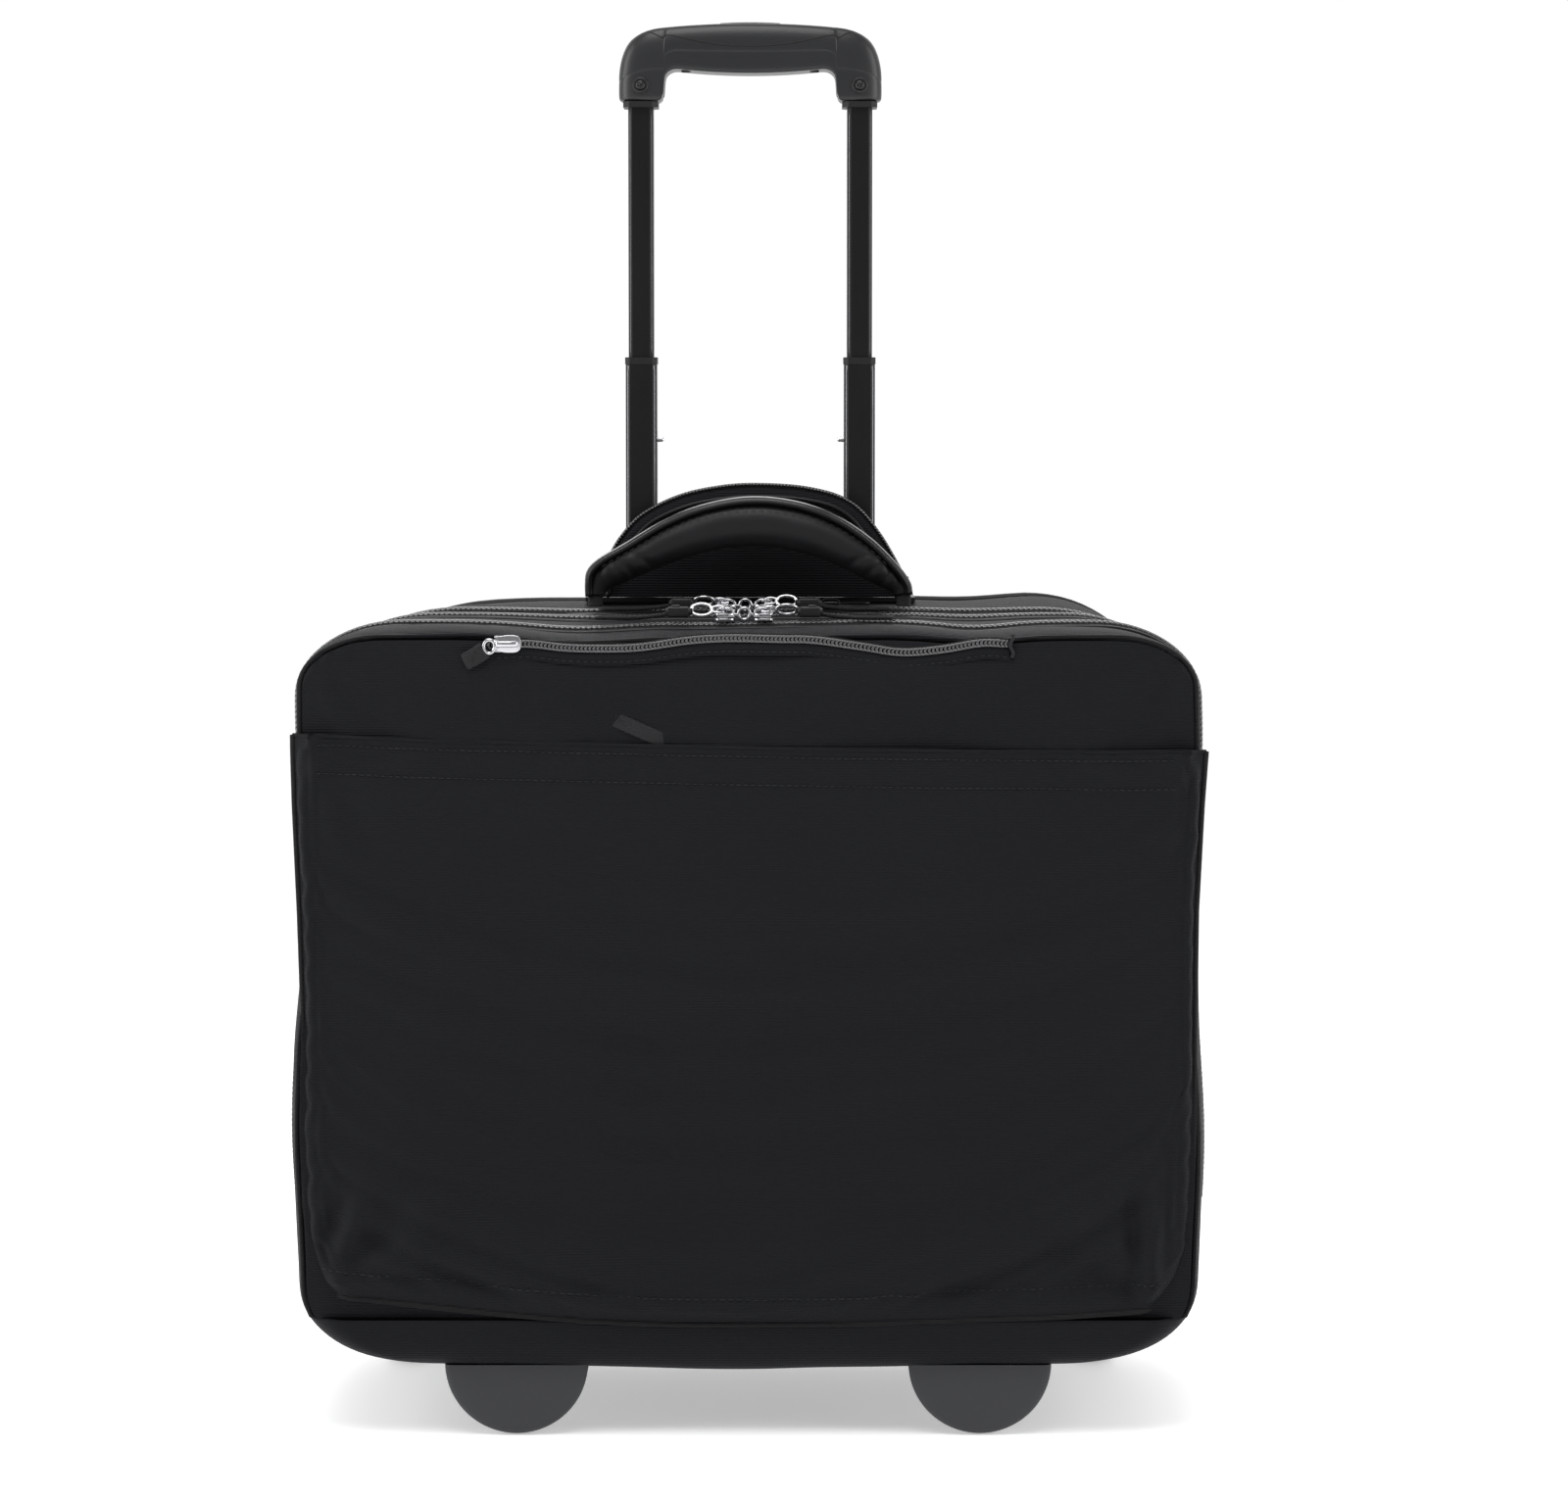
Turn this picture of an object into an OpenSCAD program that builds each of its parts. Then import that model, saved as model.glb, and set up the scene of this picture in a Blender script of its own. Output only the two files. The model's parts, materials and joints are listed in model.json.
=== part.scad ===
// Wheeled pilot flight case: a soft three compartment case on a moulded base,
// with two wheels, two front feet, a two stage trolley handle and a carry handle.
// X is across the case, Y runs from front to back, Z is up. The origin is on the
// floor, under the middle of the whole case.

/* [Case body] */
// Width of the sewn case, without the zip coils
body_w = 428; // [400:1:440]
// Height of the underside of the case above the floor
body_z0 = 32; // [30:1:34]
// Height of the top of the front cover
cover_z1 = 381; // [376:1:381]
// Height of the top of the front section
front_z1 = 382; // [378:1:382]
// Height of the top of the middle section
middle_z1 = 383; // [380:1:383]
// Height of the top of the rear section
rear_z1 = 388.5; // [385:0.5:388.5]
// Thickness of a padded fabric wall
wall = 4; // [3:0.5:5]
// Radius of the lower corners, seen from the front
corner_low = 28; // [20:1:32]

/* [Compartments] */
// Y of the front panel's face
face_y = -101; // [-102:0.5:-100]
// Y of the first perimeter zip
zip1_y = -64; // [-70:1:-58]
// Y of the second perimeter zip
zip2_y = 2; // [0:1:4]
// Y of the third perimeter zip
zip3_y = 34; // [32:1:36]
// Y of the case's back
back_y = 100; // [98:1:101]
// Gap between neighbouring sections
split = 0.4; // [0.3:0.1:0.6]
// Height at which the perimeter zips end
zip_low = 108; // [90:1:130]
// How far a zip coil stands out of the fabric
coil_h = 3; // [2:0.5:3]

/* [Slip pocket] */
// Height of the pocket's top edge
pocket_z1 = 330; // [300:1:340]
// Depth of the space in the pocket
pocket_gap = 5.5; // [5:0.5:5.5]

/* [Trolley] */
// Distance between the middles of the two tubes
tube_pitch = 110.3; // [108:0.1:112]
// Y of the middle of the tubes
tube_y = 80; // [79.5:0.5:80.5]
// Width of the upper, inner tube
inner_w = 12.6; // [12:0.1:12.8]
// Width of the lower, middle tube
mid_w = 15.6; // [15.4:0.1:15.8]
// Width of the fixed outer tube
outer_w = 19; // [18.8:0.1:19.5]
// Tube wall thickness
tube_t = 1.2; // [1:0.1:1.2]
// Top of the middle tube
mid_top = 508; // [480:1:520]
// Height of the lock pins
pin_z = 470; // [455:1:475]

/* [Grip] */
// Overall width of the grip
grip_w = 133; // [130:1:136]
// Bottom of the grip's legs
grip_z0 = 640; // [640:1:650]
// Top of the grip
grip_z1 = 679; // [679:1:690]
// Depth of the grip, front to back
grip_d = 26; // [24:1:27]

/* [Wheels and feet] */
// Wheel radius
wheel_r = 32; // [30:0.5:32]
// Wheel width
wheel_w = 22; // [20:1:22]
// X of the middle of a wheel
wheel_x = 176; // [170:1:178]
// Y of the wheel's axle
wheel_y = 76; // [75:0.5:76]
// Radius of the axle
axle_r = 4; // [3:0.5:4]
// Radius of a foot's half disc
foot_r = 34; // [32:0.5:34]
// X of the middle of a foot
foot_x = 110; // [100:1:115]

/* [Hood and carry handle] */
// Width of the hood flap
hood_w = 154; // [150:1:158]
// Top of the hood flap
hood_z1 = 450; // [440:1:452]
// Outer width of the carry handle
handle_w = 160; // [156:1:162]
// Top of the carry handle
handle_z1 = 443; // [438:1:445]

/* [Hidden] */
$fn = 48;

sec_z0 = 57;                       // lowest point of the opening sections
base_z1 = 54;                      // top edge of the fixed lower shell
tx = tube_pitch / 2;
well_z0 = 340;                     // underside of the handle well
cover_rt = 42; front_rt = 47; middle_rt = 60; rear_rt = 88;
inner_d = inner_w + 6.4; mid_d = mid_w + 6.8; outer_d = outer_w + 7;
hood_y = 45.5; hood_z0 = 391;
handle_y = 18; handle_piv = 389.5;
zip_mid = -2;                      // X where the paired sliders meet
pin_r = 1.5;
// Route of one cord loop, from the pull ring out and back, for a pull that lies towards +X.
// X from the sliders' meeting line, Y from the zip, Z from the puller's pivot.
LOOP_OUT = [[24.6, -1.6, 0], [29, -1.6, -0.7], [33, -1.6, -1.4], [38, -1.9, -2.3], [44, -2.5, -3.1],
    [50, -3.2, -3.6], [56, -3.9, -3.8], [61, -4.3, -3.8], [65, -4.25, -3.8], [68.3, -3.1, -3.8], [70.2, -1.1, -3.8]];
LOOP = concat(LOOP_OUT, [for (i = [len(LOOP_OUT) - 1:-1:0]) [LOOP_OUT[i][0], -LOOP_OUT[i][1], LOOP_OUT[i][2]]]);
cord_d = 2;

// ---------- shared shapes ----------

// Front view of a section: t is an offset outwards
module outline(w, z1, rt, t = 0) {
    a = rt + t; b = corner_low + t; hw = w / 2 + t; zt = z1 + t; zb = body_z0 - t;
    for (s = [-1, 1]) {
        translate([s * (hw - a), zt - a]) circle(r = a);
        translate([s * (hw - b), zb + b]) circle(r = b);
    }
    translate([-(hw - a), zb + b]) square([2 * (hw - a), zt - zb - b]);
    translate([-hw, zb + b]) square([2 * hw, zt - zb - a - b]);
    translate([-(hw - b), zb]) square([2 * (hw - b), 2 * b]);
}

// Puts a front-view drawing between two Y values
module between(y0, y1) { translate([0, y1, 0]) rotate([90, 0, 0]) linear_extrude(y1 - y0) children(); }

module above(z) { translate([-300, -150, z]) cube([600, 300, 500]); }

// An open box section with its panel at y0 or y1
module section(w, z1, rt, y0, y1, panel_y0, panel_t) {
    intersection() {
        union() {
            difference() {
                between(y0, y1) outline(w, z1, rt);
                between(y0 - 1, y1 + 1) outline(w, z1, rt, -wall);
            }
            between(panel_y0, panel_y0 + panel_t) outline(w, z1, rt, -1);
            intersection() {
                between(y0, y1) outline(w, z1, rt, -1);
                translate([-300, -150, sec_z0]) cube([600, 300, 3]);
            }
        }
        above(sec_z0);
    }
}

// A band that runs up one side of the outline, over the top and down the other
module band(w, z1, rt, y0, y1, t0, t1, low) {
    intersection() {
        difference() {
            between(y0, y1) outline(w, z1, rt, t1);
            between(y0 - 1, y1 + 1) outline(w, z1, rt, t0);
        }
        above(low);
    }
}

// A rectangle with its corners cut
module chamfered(w, d, c) {
    polygon([[-w/2 + c, -d/2], [w/2 - c, -d/2], [w/2, -d/2 + c], [w/2, d/2 - c],
             [w/2 - c, d/2], [-w/2 + c, d/2], [-w/2, d/2 - c], [-w/2, -d/2 + c]]);
}

module tube(w, d, z0, z1, c) {
    translate([0, 0, z0]) linear_extrude(z1 - z0) difference() {
        chamfered(w, d, c);
        chamfered(w - 2 * tube_t, d - 2 * tube_t, c - 0.5);
    }
}

module at_tubes() { for (s = [-1, 1]) translate([s * tx, tube_y, 0]) children(); }

// A slot in the inward facing wall of a tube, for the lock pin
module pin_slot(s, z0, z1, reach) {
    translate([s > 0 ? -reach : 0, -2, z0]) cube([reach, 4, z1 - z0]);
}

// A body swept along points, with n sides
function unit(v) = v / norm(v);
module sweep(pts, r, n = 8) {
    last = len(pts) - 1;
    rings = [for (i = [0:last])
        let (d = unit(pts[min(i + 1, last)] - pts[max(i - 1, 0)]),
             side = unit(cross(d, [0, 0, 1])), up = cross(side, d))
        for (k = [0:n - 1]) pts[i] + r * (cos(360 * k / n) * side + sin(360 * k / n) * up)];
    polyhedron(points = rings, faces = concat(
        [[for (k = [0:n - 1]) k]],
        [for (i = [0:last - 1]) for (k = [0:n - 1])
            [i * n + k, (i + 1) * n + k, (i + 1) * n + (k + 1) % n, i * n + (k + 1) % n]],
        [[for (k = [n - 1:-1:0]) last * n + k]]), convexity = 6);
}

// ---------- base ----------

module foot_screw_places() { for (s = [-1, 1], k = [-1, 1]) translate([s * foot_x + k * 16, -89, 0]) children(); }

module base_tray() color([0.09, 0.09, 0.1]) difference() {
    union() {
        translate([0, 0, 28.6]) linear_extrude(3.2) {
            translate([-140, -97]) square([280, 190]);
            translate([-150, -87]) square([300, 170]);
            for (x = [-140, 140], y = [-87, 83]) translate([x, y]) circle(r = 10);
        }
        // flat skid panel between the feet and the wheels
        translate([-125, -70, 27.4]) cube([250, 150, 1.3]);
    }
    foot_screw_places() translate([0, 0, 20]) cylinder(r = 2.05, h = 20);
}

module housing_room(g) {
    for (s = [-1, 1]) translate([s * wheel_x - 16 - g, 38 - g, 20]) cube([32 + 2 * g, 80, 50 + g]);
}

module bottom_shell() color([0.12, 0.12, 0.13]) difference() {
    intersection() {
        union() {
            difference() {
                between(face_y - 3, back_y) outline(body_w, front_z1, front_rt);
                between(face_y + 1, back_y - wall) outline(body_w, front_z1, front_rt, -wall);
            }
        }
        translate([-300, -150, 0]) cube([600, 300, base_z1]);
    }
    housing_room(0.1);
    foot_screw_places() translate([0, 0, 20]) cylinder(r = 2.05, h = 20);
    // room for the axle heads beside each housing
    for (s = [-1, 1]) translate([s * wheel_x - 20, wheel_y, wheel_r]) rotate([0, 90, 0]) cylinder(r = 6.6, h = 40);
}

module front_feet() color([0.36, 0.37, 0.38]) difference() {
    intersection() {
        for (s = [-1, 1]) translate([s * foot_x, -80, foot_r]) rotate([90, 0, 0]) cylinder(r = foot_r, h = 18, $fn = 96);
        translate([-200, -120, 0]) cube([400, 60, 28.6]);
    }
    foot_screw_places() translate([0, 0, 10]) cylinder(r = 2.05, h = 30);
}

module base_screws() color([0.6, 0.6, 0.62]) foot_screw_places() {
    translate([0, 0, 12]) cylinder(r = 2, h = 24.1);
    translate([0, 0, body_z0 + wall]) cylinder(r = 4, h = 2.4);
}

module wheel_housing(s) color([0.13, 0.13, 0.14]) difference() {
    translate([s * wheel_x - 16, 38, 27]) cube([32, 64, 43]);
    translate([s * wheel_x - 13, wheel_y, wheel_r]) rotate([0, 90, 0]) cylinder(r = wheel_r + 2.5, h = 26, $fn = 96);
    translate([s * wheel_x - 13, 60, 0]) cube([26, 60, 30]);
    translate([s * wheel_x - 20, wheel_y, wheel_r]) rotate([0, 90, 0]) cylinder(r = axle_r, h = 40);
}
module wheel_housing_left() wheel_housing(-1);
module wheel_housing_right() wheel_housing(1);

module axles() color([0.6, 0.6, 0.62]) for (s = [-1, 1])
    translate([s * wheel_x - 17, wheel_y, wheel_r]) rotate([0, 90, 0]) {
        cylinder(r = axle_r, h = 34);
        translate([0, 0, -2.2]) cylinder(r = 6, h = 3.2);
        translate([0, 0, 33]) cylinder(r = 6, h = 3.2);
    }

module tyre(s) color([0.1, 0.1, 0.1]) translate([s * wheel_x, wheel_y, wheel_r]) rotate([0, 90, 0])
    rotate_extrude($fn = 96) difference() {
        union() {
            translate([23, -wheel_w / 2]) square([wheel_r - 26, wheel_w]);
            translate([23, -wheel_w / 2 + 3]) square([wheel_r - 23, wheel_w - 6]);
            for (k = [-1, 1]) translate([wheel_r - 3, k * (wheel_w / 2 - 3)]) circle(r = 3);
        }
    }
module tyre_left() tyre(-1);
module tyre_right() tyre(1);

module hub(s) color([0.4, 0.4, 0.42]) translate([s * wheel_x, wheel_y, wheel_r]) rotate([0, 90, 0])
    difference() {
        union() {
            difference() { cylinder(r = 23, h = wheel_w, center = true, $fn = 96); cylinder(r = 19, h = 40, center = true); }
            cylinder(r = 9, h = wheel_w + 1, center = true);
            cylinder(r = 21, h = 5, center = true);
        }
        cylinder(r = axle_r + 0.06, h = 60, center = true);
    }
module hub_left() hub(-1);
module hub_right() hub(1);

// ---------- rear section ----------

module rear_shell() color([0.13, 0.13, 0.14]) difference() {
    intersection() {
        union() {
            difference() {
                between(zip3_y + split / 2, back_y) outline(body_w, rear_z1, rear_rt);
                between(zip3_y - 1, back_y - wall) outline(body_w, rear_z1, rear_rt, -wall);
            }
            intersection() {
                between(zip3_y + split / 2, 60) outline(body_w, rear_z1, rear_rt, -1);
                translate([-300, -150, sec_z0]) cube([600, 300, 3]);
            }
        }
        above(base_z1);
    }
    housing_room(0.1);
    translate([-79, 62.9, 336]) cube([158, 33.4, 80]);
}

module back_board() color([0.2, 0.2, 0.21]) intersection() {
    between(60, 62.5) outline(body_w - 10, rear_z1 - 5, rear_rt - 5, -0.5);
    above(72);
}

// stops each side of the handle well's flange
module rear_piping() color([0.1, 0.1, 0.11]) difference() {
    band(body_w, rear_z1, rear_rt, back_y - 6, back_y - 2.5, 0, 2.2, base_z1 + 4);
    translate([-83.4, back_y - 10, rear_z1 - 8]) cube([166.8, 12, 20]);
}

module rear_zip_half() color([0.08, 0.08, 0.08]) band(body_w, rear_z1, rear_rt, zip3_y + split / 2, zip3_y + 3.8, 0, coil_h, zip_low);

module handle_well() color([0.1, 0.1, 0.11]) difference() {
    union() {
        translate([-78.5, 63.2, well_z0]) cube([157, 32.7, rear_z1 - well_z0 + 0.1]);
        translate([-83, 58, rear_z1]) cube([166, 40.5, 2.2]);
    }
    translate([-76.5, 65.2, well_z0 + 3]) cube([153, 29.3, 80]);
    for (s = [-1, 1]) translate([s * tx, tube_y, well_z0 - 1]) {
        linear_extrude(6) chamfered(mid_w + 0.8, mid_d + 0.8, 2.4);
        pin_slot(s, 0, 6, mid_w / 2 + 5);
    }
}

module outer_tubes() color([0.16, 0.16, 0.17]) for (s = [-1, 1]) translate([s * tx, tube_y, 0]) difference() {
    tube(outer_w, outer_d, 46, well_z0, 2.4);
    pin_slot(s, 178, well_z0 + 1, outer_w);
}

module tube_foot_bracket() color([0.12, 0.12, 0.13]) difference() {
    translate([-72, 66, body_z0 + wall]) cube([144, 28.5, 16]);
    for (s = [-1, 1]) translate([s * tx, tube_y, 46]) linear_extrude(20) chamfered(outer_w + 0.1, outer_d + 0.1, 2.4);
    translate([-38, 60, body_z0 + wall + 6]) cube([76, 50, 20]);
}

// ---------- trolley ----------

module middle_tubes() color([0.18, 0.18, 0.19]) for (s = [-1, 1]) translate([s * tx, tube_y, 0]) difference() {
    tube(mid_w, mid_d, 214, mid_top, 2.2);
    pin_slot(s, 340, pin_z + 4, mid_w);
}

module middle_caps() color([0.08, 0.08, 0.08]) at_tubes() translate([0, 0, mid_top]) linear_extrude(3.5) difference() {
    chamfered(mid_w + 0.6, mid_d + 0.6, 2.3);
    chamfered(inner_w + 0.4, inner_d + 0.4, 1.9);
}

module inner_tubes() color([0.2, 0.2, 0.21]) for (s = [-1, 1]) translate([s * tx, tube_y, 0]) difference() {
    tube(inner_w, inner_d, 460, grip_z0 + 15, 1.9);
    translate([0, 0, pin_z]) rotate([0, -s * 90, 0]) cylinder(r = pin_r + 0.2, h = inner_w);
}

module tube_collars() color([0.1, 0.1, 0.1]) at_tubes() translate([0, 0, grip_z0 - 3]) linear_extrude(2.95) difference() {
    chamfered(17.6, 24, 3);
    chamfered(inner_w + 0.1, inner_d + 0.1, 1.9);
}

module lock_bodies() color([0.12, 0.12, 0.12]) for (s = [-1, 1]) translate([s * tx, tube_y, 0]) difference() {
    translate([0, 0, 462]) linear_extrude(18) chamfered(inner_w - 2 * tube_t - 0.1, inner_d - 2 * tube_t - 0.1, 1.4);
    translate([0, 0, pin_z]) rotate([0, -s * 90, 0]) cylinder(r = pin_r + 0.05, h = inner_w);
    translate([s * -1.5, 0, pin_z]) rotate([0, s * 90, 0]) cylinder(r = pin_r + 0.05, h = 6.2);
}

module lock_pin(s) color([0.8, 0.8, 0.82]) translate([s * (tx - mid_w / 2 - 3.4), tube_y, pin_z]) rotate([0, s * 90, 0]) {
    translate([0, 0, 0.6]) cylinder(r = pin_r, h = 10);
    cylinder(r1 = pin_r - 0.5, r2 = pin_r, h = 0.6);
}
module lock_pin_left() lock_pin(-1);
module lock_pin_right() lock_pin(1);

module grip_front() {
    difference() {
        union() {
            translate([-grip_w / 2, grip_z0 + 4]) square([grip_w, 18]);
            translate([-grip_w / 2 + 16, grip_z0 + 4]) square([grip_w - 32, grip_z1 - grip_z0 - 4]);
            translate([-grip_w / 2 + 4, grip_z0]) square([grip_w - 8, 12]);
            for (s = [-1, 1]) {
                translate([s * (grip_w / 2 - 17), grip_z1 - 17]) circle(r = 17);
                translate([s * (grip_w / 2 - 4), grip_z0 + 4]) circle(r = 4);
            }
        }
        translate([-42.5, grip_z0 - 1]) square([85, 16]);
        translate([-38, grip_z0 - 1]) square([76, 17]);
    }
}

module grip_side() {
    translate([-grip_d / 2 + 8, grip_z0]) square([grip_d - 16, grip_z1 - grip_z0]);
    translate([-grip_d / 2, grip_z0]) square([grip_d, grip_z1 - grip_z0 - 8]);
    for (s = [-1, 1]) translate([s * (grip_d / 2 - 8), grip_z1 - 8]) circle(r = 8);
}

module grip_body() color([0.24, 0.24, 0.25]) difference() {
    intersection() {
        between(tube_y - 20, tube_y + 20) grip_front();
        translate([-100, tube_y, 0]) rotate([90, 0, 90]) linear_extrude(200) grip_side();
    }
    for (s = [-1, 1]) {
        translate([s * tx, tube_y, grip_z0 - 1]) linear_extrude(16.05) chamfered(inner_w + 0.1, inner_d + 0.1, 1.9);
        translate([s * tx, tube_y - grip_d / 2 - 1, grip_z0 + 8]) rotate([-90, 0, 0]) cylinder(r = 3.1, h = 2.6);
    }
    // room for the cross bar and the button
    translate([-tx - 4, tube_y - 4, grip_z0 + 12]) cube([2 * tx + 8, 8, 14.5]);
    translate([0, 0, 655]) linear_extrude(40) hull() for (s = [-1, 1]) translate([s * 8, tube_y]) circle(r = 7.9);
}

module grip_screws() color([0.7, 0.7, 0.72]) for (s = [-1, 1])
    translate([s * tx, tube_y - grip_d / 2 + 0.3, grip_z0 + 8]) rotate([-90, 0, 0]) difference() {
        cylinder(r = 3, h = 1.2);
        translate([-2, -0.4, -1]) cube([4, 0.8, 1.5]);
        translate([-0.4, -2, -1]) cube([0.8, 4, 1.5]);
    }

module release_button() color([0.3, 0.3, 0.31]) {
    translate([0, 0, 662]) linear_extrude(18.4) hull() for (s = [-1, 1]) translate([s * 8, tube_y]) circle(r = 7.5);
    translate([-tx - 2.2, tube_y - 2.2, 658.5]) cube([2 * tx + 4.4, 4.4, 4]);
    for (s = [-1, 1]) translate([s * tx, tube_y, 486]) cylinder(r = 2, h = 174);
}

// ---------- hood flap over the handle well ----------

module hood_front(t = 0) {
    a = 56 + t; hw = hood_w / 2 + t; zt = hood_z1 - 3 + t;
    for (s = [-1, 1]) translate([s * (hw - a), zt - a]) circle(r = a, $fn = 96);
    translate([-(hw - a), hood_z0]) square([2 * (hw - a), zt - hood_z0]);
}

module hood_keep() translate([-200, 0, hood_z0]) cube([400, 100, 200]);

module hood_flap() color([0.12, 0.12, 0.13]) intersection() { between(hood_y - 2.5, hood_y + 2.5) hood_front(0); hood_keep(); }

module hood_zip() color([0.07, 0.07, 0.07]) intersection() {
    difference() { between(hood_y - 2, hood_y + 2) hood_front(3); between(hood_y - 4, hood_y + 4) hood_front(0); }
    translate([0, 0, 1]) hood_keep();
}

// ---------- middle section ----------

module middle_shell() color([0.13, 0.13, 0.14])
    section(body_w, middle_z1, middle_rt, zip2_y + split / 2, zip3_y - split / 2, zip3_y - split / 2 - 2.6, 2.6);

module middle_zip_halves() color([0.08, 0.08, 0.08]) {
    band(body_w, middle_z1, middle_rt, zip2_y + split / 2, zip2_y + 3.8, 0, coil_h, zip_low);
    band(body_w, middle_z1, middle_rt, zip3_y - 3.8, zip3_y - split / 2, 0, coil_h, zip_low);
}

// ---------- carry handle ----------

// Front view of the handle's arched bar: a shallow arc at the top and a flatter one under it
module handle_top(t) intersection() {
    translate([0, handle_z1 - 103]) circle(r = 103 - t, $fn = 180);
    translate([-handle_w / 2 + t, handle_piv]) square([handle_w - 2 * t, 100]);
}
module handle_gap() intersection() {
    translate([0, handle_z1 - 26 - 119]) circle(r = 119, $fn = 180);
    translate([-handle_w / 2 + 7, handle_piv - 1]) square([handle_w - 14, 100]);
}

module carry_handle() color([0.1, 0.1, 0.11]) {
    difference() {
        between(handle_y - 4, handle_y + 4) handle_top(0);
        between(handle_y - 9, handle_y + 9) handle_gap();
    }
    // padded grip, thicker in the middle
    intersection() {
        difference() {
            between(handle_y - 8, handle_y + 8) handle_top(1);
            between(handle_y - 9, handle_y + 9) handle_gap();
        }
        translate([-60, 0, handle_piv + 10]) cube([120, 60, 60]);
    }
    for (s = [-1, 1]) translate([s * (handle_w / 2 - 3.5) - 3.5, handle_y, handle_piv]) rotate([0, 90, 0]) cylinder(r = 4, h = 7);
}

// ---------- front section and cover ----------

module front_shell() color([0.13, 0.13, 0.14])
    section(body_w, front_z1, front_rt, zip1_y + split / 2, zip2_y - split / 2, zip2_y - split / 2 - 3, 3);

module front_zip_halves() color([0.08, 0.08, 0.08]) {
    band(body_w, front_z1, front_rt, zip1_y + split / 2, zip1_y + 3.8, 0, coil_h, zip_low);
    band(body_w, front_z1, front_rt, zip2_y - 3.8, zip2_y - split / 2, 0, coil_h, zip_low);
}

module cover_shell() color([0.14, 0.14, 0.15])
    section(body_w - 2, cover_z1, cover_rt, face_y, zip1_y - split / 2, face_y, 3);

module cover_zip_half() color([0.08, 0.08, 0.08])
    band(body_w - 2, cover_z1, cover_rt, zip1_y - 3.8, zip1_y - split / 2, 0, coil_h, zip_low);

module front_piping() color([0.1, 0.1, 0.11]) band(body_w - 2, cover_z1, cover_rt, face_y + 1, face_y + 4, 0, 2, sec_z0 + 5);

module slip_pocket() color([0.13, 0.13, 0.14]) intersection() {
    difference() {
        between(face_y - 7, face_y) outline(body_w - 6, cover_z1, cover_rt);
        between(face_y - pocket_gap, face_y + 1) intersection() {
            outline(body_w - 6, cover_z1, cover_rt, -3);
            translate([-300, sec_z0 + 3]) square([600, 400]);
        }
    }
    translate([-300, -150, sec_z0]) cube([600, 300, pocket_z1 - sec_z0]);
}

module webbing_tabs() color([0.17, 0.17, 0.18]) {
    translate([-50, face_y, 333]) rotate([90, 12, 0]) translate([-13, -8, 0]) linear_extrude(2) square([26, 16]);
    translate([37, face_y - 2, 322]) cube([16, 2, 12]);
}

module pocket_zip() color([0.07, 0.07, 0.07]) {
    translate([-102, face_y - 2.4, 369]) cube([225, 2.4, 6.5]);
}

// ---------- zip sliders and pulls ----------

// Lockable slider that lies from its meeting line towards dir, with a flat eye at one of two levels
module slider(dir, level) {
    difference() {
        union() {
            translate([dir > 0 ? 4.4 : -14, -4.5, 0]) cube([9.6, 9, 3]);
            translate([0, 0, level]) cylinder(r = 4, h = 1.4);
            translate([dir > 0 ? 0 : -6, -2.4, level]) cube([6, 4.8, 1.4]);
            translate([dir * 10 - 1.2, -0.7, 2.9]) cube([2.4, 1.4, 3.3]);
        }
        translate([0, 0, -1]) cylinder(r = 1.9, h = 10);
        translate([dir * 10, 0, 5]) rotate([90, 0, 0]) cylinder(r = 0.86, h = 4, center = true, $fn = 24);
    }
}

// Pull ring hanging on the slider, lying towards dir, about its own pivot
module puller(dir) {
    rotate([90, 0, 0]) cylinder(r = 0.8, h = 5.8, center = true, $fn = 24);
    for (s = [-1, 1]) translate([dir > 0 ? 0 : -6, s * 2.2 - 0.7, -0.8]) cube([6, 1.4, 1.6]);
    translate([dir * 10, 0, -0.8]) linear_extrude(1.6) difference() {
        union() { for (k = [-1, 1]) translate([k * 1.6, 0]) circle(r = 4.2); translate([-1.6, -4.2]) square([3.2, 8.4]); }
        union() { for (k = [-1, 1]) translate([k * 1.2, 0]) circle(r = 2.4); translate([-1.2, -2.4]) square([2.4, 4.8]); }
    }
    translate([dir > 0 ? 13.6 : -14.6, -3, -0.8]) cube([1, 6, 1.6]);
}

module stop(dir) translate([dir * 20 - 2.75, -3.3, -3.4]) cube([5.5, 6.6, 4.6]);

module loop(dir) sweep([for (p = LOOP) [dir * (p[0] - 10), p[1], p[2]]], cord_d / 2, 8);

slider_z1 = front_z1 + coil_h + 0.4;
slider_z2 = middle_z1 + coil_h + 0.4;
silver = [0.78, 0.78, 0.8];
module front_slider_left() color(silver) translate([zip_mid, zip1_y, slider_z1]) slider(-1, 0);
module front_slider_right() color(silver) translate([zip_mid, zip1_y, slider_z1]) slider(1, 1.6);
module middle_slider_left() color(silver) translate([zip_mid, zip2_y, slider_z2]) slider(-1, 0);
module middle_slider_right() color(silver) translate([zip_mid, zip2_y, slider_z2]) slider(1, 1.6);
module front_puller_left() color(silver) translate([zip_mid - 10, zip1_y, slider_z1 + 5]) puller(-1);
module front_puller_right() color(silver) translate([zip_mid + 10, zip1_y, slider_z1 + 5]) puller(1);
module middle_puller_left() color(silver) translate([zip_mid - 10, zip2_y, slider_z2 + 5]) puller(-1);
module middle_puller_right() color(silver) translate([zip_mid + 10, zip2_y, slider_z2 + 5]) puller(1);
module front_stop_left() color([0.06, 0.06, 0.06]) translate([zip_mid - 10, zip1_y, slider_z1 + 5]) stop(-1);
module front_stop_right() color([0.06, 0.06, 0.06]) translate([zip_mid + 10, zip1_y, slider_z1 + 5]) stop(1);
module middle_stop_left() color([0.06, 0.06, 0.06]) translate([zip_mid - 10, zip2_y, slider_z2 + 5]) stop(-1);
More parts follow.
